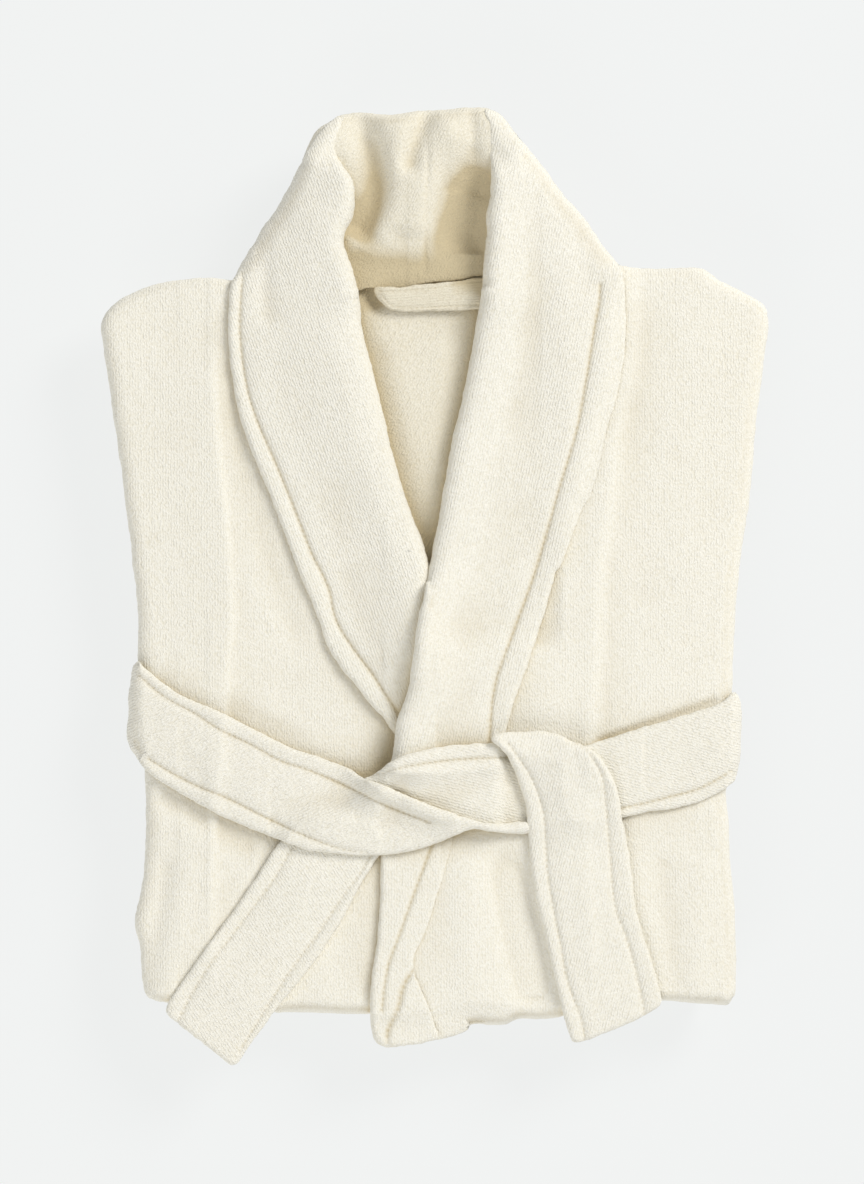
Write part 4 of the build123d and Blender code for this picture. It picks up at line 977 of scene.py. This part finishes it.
STRIP_TOP = P([(-230, -36.0), (230, -58.0)])
STRIP_LOW = P([(-230, -104.0), (230, -126.0)])


def in_strip(x, y):
    a = STRIP_TOP[0][1] + (x - STRIP_TOP[0][0]) / (STRIP_TOP[1][0] - STRIP_TOP[0][0]) * (STRIP_TOP[1][1] - STRIP_TOP[0][1])
    b = STRIP_LOW[0][1] + (x - STRIP_LOW[0][0]) / (STRIP_LOW[1][0] - STRIP_LOW[0][0]) * (STRIP_LOW[1][1] - STRIP_LOW[0][1])
    return (y < a) & (y > b)


run_low = low("belt_back_run")
slv_top = lambda x, y: np.where(in_strip(x, y), run_low - 0.5, FLAP_LOW - 0.2)
for side, sgn_, out_ in (("right", -1, [(-171.0, 153.6), (-24.0, 153.6), (-33.0, -8.4), (-54.0, -140.0), (-138.0, -140.0), (-165.0, 15.6)]),
                         ("left", 1, [(163.8, 153.6), (24.0, 153.6), (33.0, -8.4), (54.0, -140.0), (138.0, -140.0), (162.0, 15.6)])):
    slab(side + "_sleeve_cloth", side + "_sleeve", "robe_body", "terry_body", M_BODY, back_outline(out_), slv_top, BODY_LOW + 0.1, 140 + sgn_, h=2.8, r=4.0)
    c = nbox(side + "_cuff")
    cq = back_outline([(-139.2, -141.8), (-52.8, -141.8), (-55.2, -224.4), (-136.8, -224.4)] if sgn_ < 0 else [(52.8, -141.8), (139.2, -141.8), (136.8, -224.4), (55.2, -224.4)])
    slab(side + "_cuff_cloth", side + "_cuff", "robe_body", "terry_body", M_BODY, cq, c[5] - 0.2, lambda x, y, s=sgn_: BODY_LOW + 0.1 + ridge(x, y, [(s * 60 + DX, -150.0 + DY), (s * 132 + DX, -150.0 + DY)], 1.2, 0.9, fade=0), 145 + sgn_, h=2.2, r=4.6)

slab("belt_back_run_cloth", "belt_back_run", "robe_body", "terry_belt", M_BELT_R, back_outline([(-178.4, -46.8), (175.6, -63.6), (175.6, -116.4), (-178.4, -97.2)]),
     FLAP_LOW - 0.1, run_low + 0.05, 150, h=2.4, r=1.5)
slab("collar_fall_cloth", "collar_fall", "robe_body", "terry_collar", M_BODY,
     back_outline([(-92.5, 224), (-82, 243.6), (-61, 275), (-53, 279.8), (-18.6, 280.5), (18.6, 283), (32.5, 282.5), (38.5, 278), (56, 256), (74, 232), (97, 203), (97, 193), (75, 185.5), (27, 186.5), (-37.8, 182.5), (-81, 182.5), (-110, 186), (-102, 207.6)]),
     top("collar_fall") - 0.1, low("collar_fall") + 0.1, 151, h=2.2, r=4.4)


def shell(name, C, N, H, mat, caps=True):
    """A closed strip of cloth about the middle surface C (u, v, 3), with unit normals N and half thickness H (u, v), which is drawn to an edge at the border."""
    nu, nv = C.shape[:2]
    H = H.copy()
    H[0, :] = H[-1, :] = 0
    H[:, 0] = H[:, -1] = 0
    A = (C + N * H[..., None]).reshape(-1, 3)
    B = (C - N * H[..., None]).reshape(-1, 3)
    border = np.zeros((nu, nv), bool)
    border[0, :] = border[-1, :] = border[:, 0] = border[:, -1] = True
    border = border.ravel()
    bi = np.arange(nu * nv)
    bi[~border] = nu * nv + np.arange((~border).sum())
    V = np.vstack([A, B[~border]])
    idx = np.arange(nu * nv).reshape(nu, nv)
    f = np.stack([idx[:-1, :-1], idx[1:, :-1], idx[1:, 1:], idx[:-1, 1:]], -1).reshape(-1, 4)
    g = bi[f][:, ::-1]
    o = make(name, V, np.vstack([f, g]).tolist(), mat)
    PIECES[name] = o
    return o


def edge_x(Q, xs, lowest=True):
    """The lowest (or highest) y of the closed line Q at each x."""
    A, B = Q, np.roll(Q, -1, 0)
    out = []
    for x in xs:
        k = (A[:, 0] > x) != (B[:, 0] > x)
        y = A[k][:, 1] + (x - A[k][:, 0]) / (B[k][:, 0] - A[k][:, 0]) * (B[k][:, 1] - A[k][:, 1])
        out.append((y.min() if lowest else y.max()) if len(y) else np.nan)
    return np.array(out)


# Lower fold: the outer skin of the bend that joins the upper third to the skirt.
f0 = nbox("lower_fold")
xs = np.arange(f0[0] + 2.5, f0[1] - 2.5, 2.4)
yb = np.where(xs < 62 + DX, np.nan_to_num(edge_x(rq, xs), nan=-251.0), np.nan_to_num(edge_x(lq, xs), nan=-250.0))
for _ in range(10):
    yb[1:-1] = 0.5 * yb[1:-1] + 0.25 * (yb[:-2] + yb[2:])
xs_fold, yb_fold = xs.copy(), yb.copy()
ph = np.radians(np.linspace(-52, 27, 30))
Rf = 7.5
hu, hl = 22.0, FOLD_Z - f0[4] - 2.0
C = np.zeros((len(ph), len(xs), 3))
N = np.zeros_like(C)
for i, p_ in enumerate(ph):
    hgt = hu if p_ > 0 else hl
    C[i, :, 0] = xs
    C[i, :, 1] = yb + Rf * (1 - math.cos(p_)) + 0.9
    C[i, :, 2] = FOLD_Z + hgt * math.sin(p_)
    n = np.array([0, -math.cos(p_), math.sin(p_) * Rf / hgt])
    N[i] = n / np.linalg.norm(n)
fz = fuzz(C[..., 0], 3.0 * C[..., 2] - 80, (0.12, 0.12, 0.2, 0))
u = np.abs(np.linspace(-1, 1, len(ph)))[:, None]
Hh = 0.9 * (1 - u**4) + 0.15 + np.zeros(len(xs))[None] 
C += N * (fz[..., None] * 0.5)
o = shell("lower_fold_cloth", C, N, Hh, M_BODY)
lower_fold_obj = o
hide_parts("lower_fold")
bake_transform(o)

u0 = nbox("upper_fold")
xs = np.arange(u0[0] + 1.0, u0[1] - 1.0, 2.6)
prof = spline([(u0[2] - 4.0, u0[4] + 1.0), (u0[2] + 4, u0[4] + 3.5), (u0[2] + 7.4, u0[4] + 7.5), (u0[2] + 8.2, 11.3), (u0[2] + 7.2, u0[5] - 5.5), (u0[2] + 3.5, u0[5] - 2.3), (u0[2] - 4.0, u0[5] - 1.2)], 1.1, closed=False)
tn = np.gradient(prof, axis=0)
tn /= np.hypot(tn[:, 0], tn[:, 1])[:, None]
C = np.zeros((len(prof), len(xs), 3))
N = np.zeros_like(C)
C[..., 0] = xs[None]
C[..., 1] = prof[:, :1]
C[..., 2] = prof[:, 1:]
N[..., 1] = tn[:, 1:]
N[..., 2] = -tn[:, :1]
C += N * (fuzz(C[..., 0], 3.0 * C[..., 2] + 100, (0.12, 0.12, 0.2, 0))[..., None] * 0.5)
o = shell("upper_fold_cloth", C[:, ::-1], N[:, ::-1], np.full(C.shape[:2], 1.2), M_BODY)
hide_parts("upper_fold")
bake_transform(o)

# Belt loops on the side seams.
bl = nbox("belt_loops")
parts_v, parts_f, base_i = [], [], 0
for cx, cy in ((bl[0] + 4.0, -78.0 + DY), (bl[1] - 4.0, -84.5 + DY)):
    path = spline([(cy - 31.6, FLAP_LOW - 0.2), (cy - 31.6, bl[4] + 1.6), (cy - 29.0, bl[4] + 0.8), (cy, bl[4] + 0.75), (cy + 29.0, bl[4] + 0.8), (cy + 31.6, bl[4] + 1.6), (cy + 31.6, FLAP_LOW - 0.2)], 1.5, closed=False)
    t2 = np.gradient(path, axis=0)
    t2 /= np.hypot(t2[:, 0], t2[:, 1])[:, None]
    n2 = np.column_stack([t2[:, 1], -t2[:, 0]])
    ring = []
    for k in range(12):
        a = 2 * math.pi * k / 12
        ring.append(np.column_stack([np.full(len(path), cx + 3.9 * math.cos(a)), path[:, 0] + n2[:, 0] * 0.62 * math.sin(a), path[:, 1] + n2[:, 1] * 0.62 * math.sin(a)]))
    V = np.stack(ring, 1).reshape(-1, 3)
    n = len(path)
    for i in range(n - 1):
        for k in range(12):
            parts_f.append([base_i + i * 12 + k, base_i + i * 12 + (k + 1) % 12, base_i + (i + 1) * 12 + (k + 1) % 12, base_i + (i + 1) * 12 + k])
    parts_f.append([base_i + k for k in range(11, -1, -1)])
    parts_f.append([base_i + (n - 1) * 12 + k for k in range(12)])
    parts_v.append(V)
    base_i += len(V)
o = make("belt_loops_cloth", np.vstack(parts_v), parts_f, M_BELT_R)
PIECES["belt_loops_cloth"] = o
place(o, "robe_body", "terry_belt", "belt_loops")

# Skirt third: its own outside faces down while folded. Its front end makes the lower half of the bend.
sk = nbox("skirt_back_panel")
EDGE_X = nbox("skirt_left_front")[0]
UNDER_X = nbox("skirt_right_front")[1]
pz = top("right_pocket")
x0, x1, y0, y1 = sk[0], sk[1], sk[2], sk[3]


def wavy(q, seed, a=0.5):
    k = noise_field(seed, 30.0, a)
    q = q.copy()
    q[:, 0] += sample(k, q[:, 0], q[:, 1])
    q[:, 1] += sample(k, q[:, 1] * 0.6, q[:, 0])
    return q


def fold_low(z):
    """Underside of a skirt layer, which swells into the bend at its front end."""
    return lambda x, y: z(x, y) - (z(x, y) - (f0[4] + 1.2)) * smooth01((y0 + 12.0 - y) / 12.0)


endy = -256.5 + DY
lf_low = lambda x, y: np.full(np.shape(x), pz + 0.15)
slab("skirt_left_front_cloth", "skirt_left_front", "skirt_middle", "terry_body", M_BODY, wavy(poly(rect(EDGE_X, x1, y0, y1), 2), 401),
     lambda x, y: np.where(x > UNDER_X + 1.5, pz + 6.5, pz + 3.1), lf_low, 161, h=2.5, r=rim([(lambda x, y: x > x1 - 8, 3.0)], 1.6))
slab("skirt_right_front_cloth", "skirt_right_front", "skirt_middle", "terry_body", M_BODY, wavy(poly(rect(x0, UNDER_X, y0, y1), 2), 402),
     pz + 6.5, lambda x, y: np.where(x < EDGE_X - 1.5, pz + 0.15, pz + 3.5), 162, h=2.5, r=rim([(lambda x, y: x < x0 + 8, 3.0)], 1.6))
slab("skirt_back_panel_cloth", "skirt_back_panel", "skirt_middle", "terry_body", M_BODY, wavy(poly(rect(x0, x1, y0, y1), 2), 403),
     SK_TOP - 0.1, pz + 6.9, 163, h=2.8, r=1.6)
# the inside of the bend, as cloth between the skirt's layers and its outer skin
bx = xs_fold[::3]
bend_q = poly([(x, y) for x, y in zip(bx, yb_fold[::3] + 2.4)] + [(x1 - 2.5, y0 - 0.3), (x0 + 2.5, y0 - 0.3)], 3)
o = pillow("lower_bend_cloth", None, const(FOLD_Z - 0.3), const(f0[4] + 0.8), M_BODY, h=2.6, r=rim([(lambda x, y: y < y0 - 4, 9.0)], 1.6), eq=rim([(lambda x, y: y < y0 - 4, 0.96)], 0.5), boundary=bend_q, seed=164)
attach(o, "skirt_middle")

for side in ("right", "left"):
    p = nbox(side + "_pocket")
    b = nbox(side + "_pocket_band")
    hem3 = [[(p[0] + 4, p[2] + 4), (p[0] + 4, p[3] - 4), (p[1] - 4, p[3] - 4), (p[1] - 4, p[2] + 4)]]
    slab(side + "_pocket_cloth", side + "_pocket", "skirt_middle", "terry_body", M_BODY, wavy(poly(rect(p[0], p[1], p[2], p[3], 7.0), 2), 410), p[5] - 0.05,
         lambda x, y, l=Line(hem3[0]), z=p[4]: z + 0.1 + ridge(x, y, l, 1.2, 0.8, fade=0), 170 + len(side), h=2.2, r=1.1)
    yl = 0.5 * (b[2] + b[3])
    slab(side + "_pocket_band_cloth", side + "_pocket_band", "skirt_middle", "terry_body", M_BODY, wavy(poly(rect(b[0], b[1], b[2], b[3] - 0.2, 4.0), 2), 411), b[5] - 0.05,
         lambda x, y, l=Line([(b[0] + 3, b[3] - 5), (b[1] - 3, b[3] - 5)]), z=b[4]: z + 0.05 + ridge(x, y, l, 1.1, 0.7, fade=0), 180 + len(side), h=1.8, r=1.1)

# Hem third: it lies face up, under the rest.
hb, hr, hl_, hd = (nbox(n) for n in ("hem_back_panel", "hem_right_front", "hem_left_front", "hem_band"))
slab("hem_back_panel_cloth", "hem_back_panel", "skirt_hem", "terry_body", M_BODY, wavy(poly(rect(hb[0], hb[1], hb[2] + 0.3, hb[3]), 2), 421), hb[5] - 0.1, hb[4] + 0.0, 191, h=2.8)
slab("hem_right_front_cloth", "hem_right_front", "skirt_hem", "terry_body", M_BODY, wavy(poly(rect(hr[0], hr[1], hr[2] + 0.3, hr[3]), 2), 422),
     lambda x, y: np.where(x < hl_[0] - 1.5, hr[5] - 0.1, hb[5] + 3.1), hb[5] + 0.1, 192, h=2.5, r=rim([(lambda x, y: x < hr[0] + 8, 3.0)], 1.6))
slab("hem_left_front_cloth", "hem_left_front", "skirt_hem", "terry_body", M_BODY, wavy(poly(rect(hl_[0], hl_[1], hl_[2] + 0.3, hl_[3]), 2), 423),
     hl_[5] - 0.1, lambda x, y: np.where(x > hr[1] + 2, hb[5] + 0.1, hb[5] + 3.5), 193, h=2.5, r=rim([(lambda x, y: x > hl_[1] - 8, 3.0)], 1.6))
band_top = lambda x, y: np.where(x > hl_[0], hd[5], hb[5] + 3.2) - ridge(x, y, [(hd[0] - 4, hd[3] - 5.0), (hd[1] + 4, hd[3] - 5.0)], 1.3, 0.9, fade=0)
slab("hem_band_cloth", "hem_band", "skirt_hem", "terry_body", M_BODY, wavy(poly(rect(hd[0], hd[1], hd[2], hd[3] - 0.2), 2), 424), band_top, hd[4] + 0.0, 194, h=2.2, r=3.4)

# ---------------------------------------------------------------------------
# Tails: their CAD parts are hidden and their meshes fixed in place; the rest rides with its body
# ---------------------------------------------------------------------------
for o, name, body in ((tail_r, "right_tail_lift", "belt_tail_r"), (tail_l, "left_tail_lift", "belt_tail_l")):
    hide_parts("belt_tail_right" if o is tail_r else "belt_tail_left")


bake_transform(tail_r)
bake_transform(tail_l)
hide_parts("collar_roll")

# ---------------------------------------------------------------------------
# How deep each point sits among the layers round it, painted into the cloth's colour as shade: warm and darker in
# hollows and where layers lie on top
# ---------------------------------------------------------------------------
everywhere = mask_of(rq) | mask_of(lq) | Mb | Ms
for pts_ in (LEAF_R, LEAF_L, BELT_R, BELT_L, TAIL_R, TAIL_L, FACING_BAND):
    everywhere |= mask_of(spline(pts_, 1.5))
Zs = np.where(everywhere, Z_still, 36.0)
inland = smooth01((blur(everywhere.astype(float), 5.0) - 0.62) / 0.3)
tight_mean, near_mean, far_mean = blur(Zs, 1.3), blur(Zs, 3.5), blur(Zs, 12.0)
for name, o in PIECES.items():
    me = o.data
    co = np.zeros(3 * len(me.vertices), np.float32)
    me.vertices.foreach_get("co", co)
    co = co.reshape(-1, 3) * 1000.0
    c = np.zeros(len(co))
    k = co[:, 2] > 37.0
    if name in UPPER:
        k &= UPPER[name] > 0.5
    a = (sample(near_mean, co[k, 0], co[k, 1]) - co[k, 2]) / 7.0
    b = (sample(far_mean, co[k, 0], co[k, 1]) - co[k, 2]) / 10.0
    e = (sample(tight_mean, co[k, 0], co[k, 1]) - co[k, 2]) / 3.0
    c[k] = np.clip(0.5 * np.clip(e, 0, 1) + 0.85 * np.clip(a, 0, 1) + 1.1 * np.clip(b, 0, 1), 0, 1)
    c[k] *= sample(inland, co[k, 0], co[k, 1])
    # painted shade: an extra dark warm patch on the back panel beside the hanger loop's left end
    if name == "back_panel_cloth":
        c = np.clip(c + ridge(co[:, 0], co[:, 1], P([(-45.6, 178.8), (-41.4, 175.8), (-36.6, 171.6)]), 4.5, 0.7, fade=0), 0, 1)
    if name in THREAD:
        c = np.clip(c + 0.45 * THREAD[name], 0, 1)
    at = me.attributes.new("painted_shade_and_stitches", "FLOAT", "POINT")
    at.data.foreach_set("value", c.astype(np.float32))
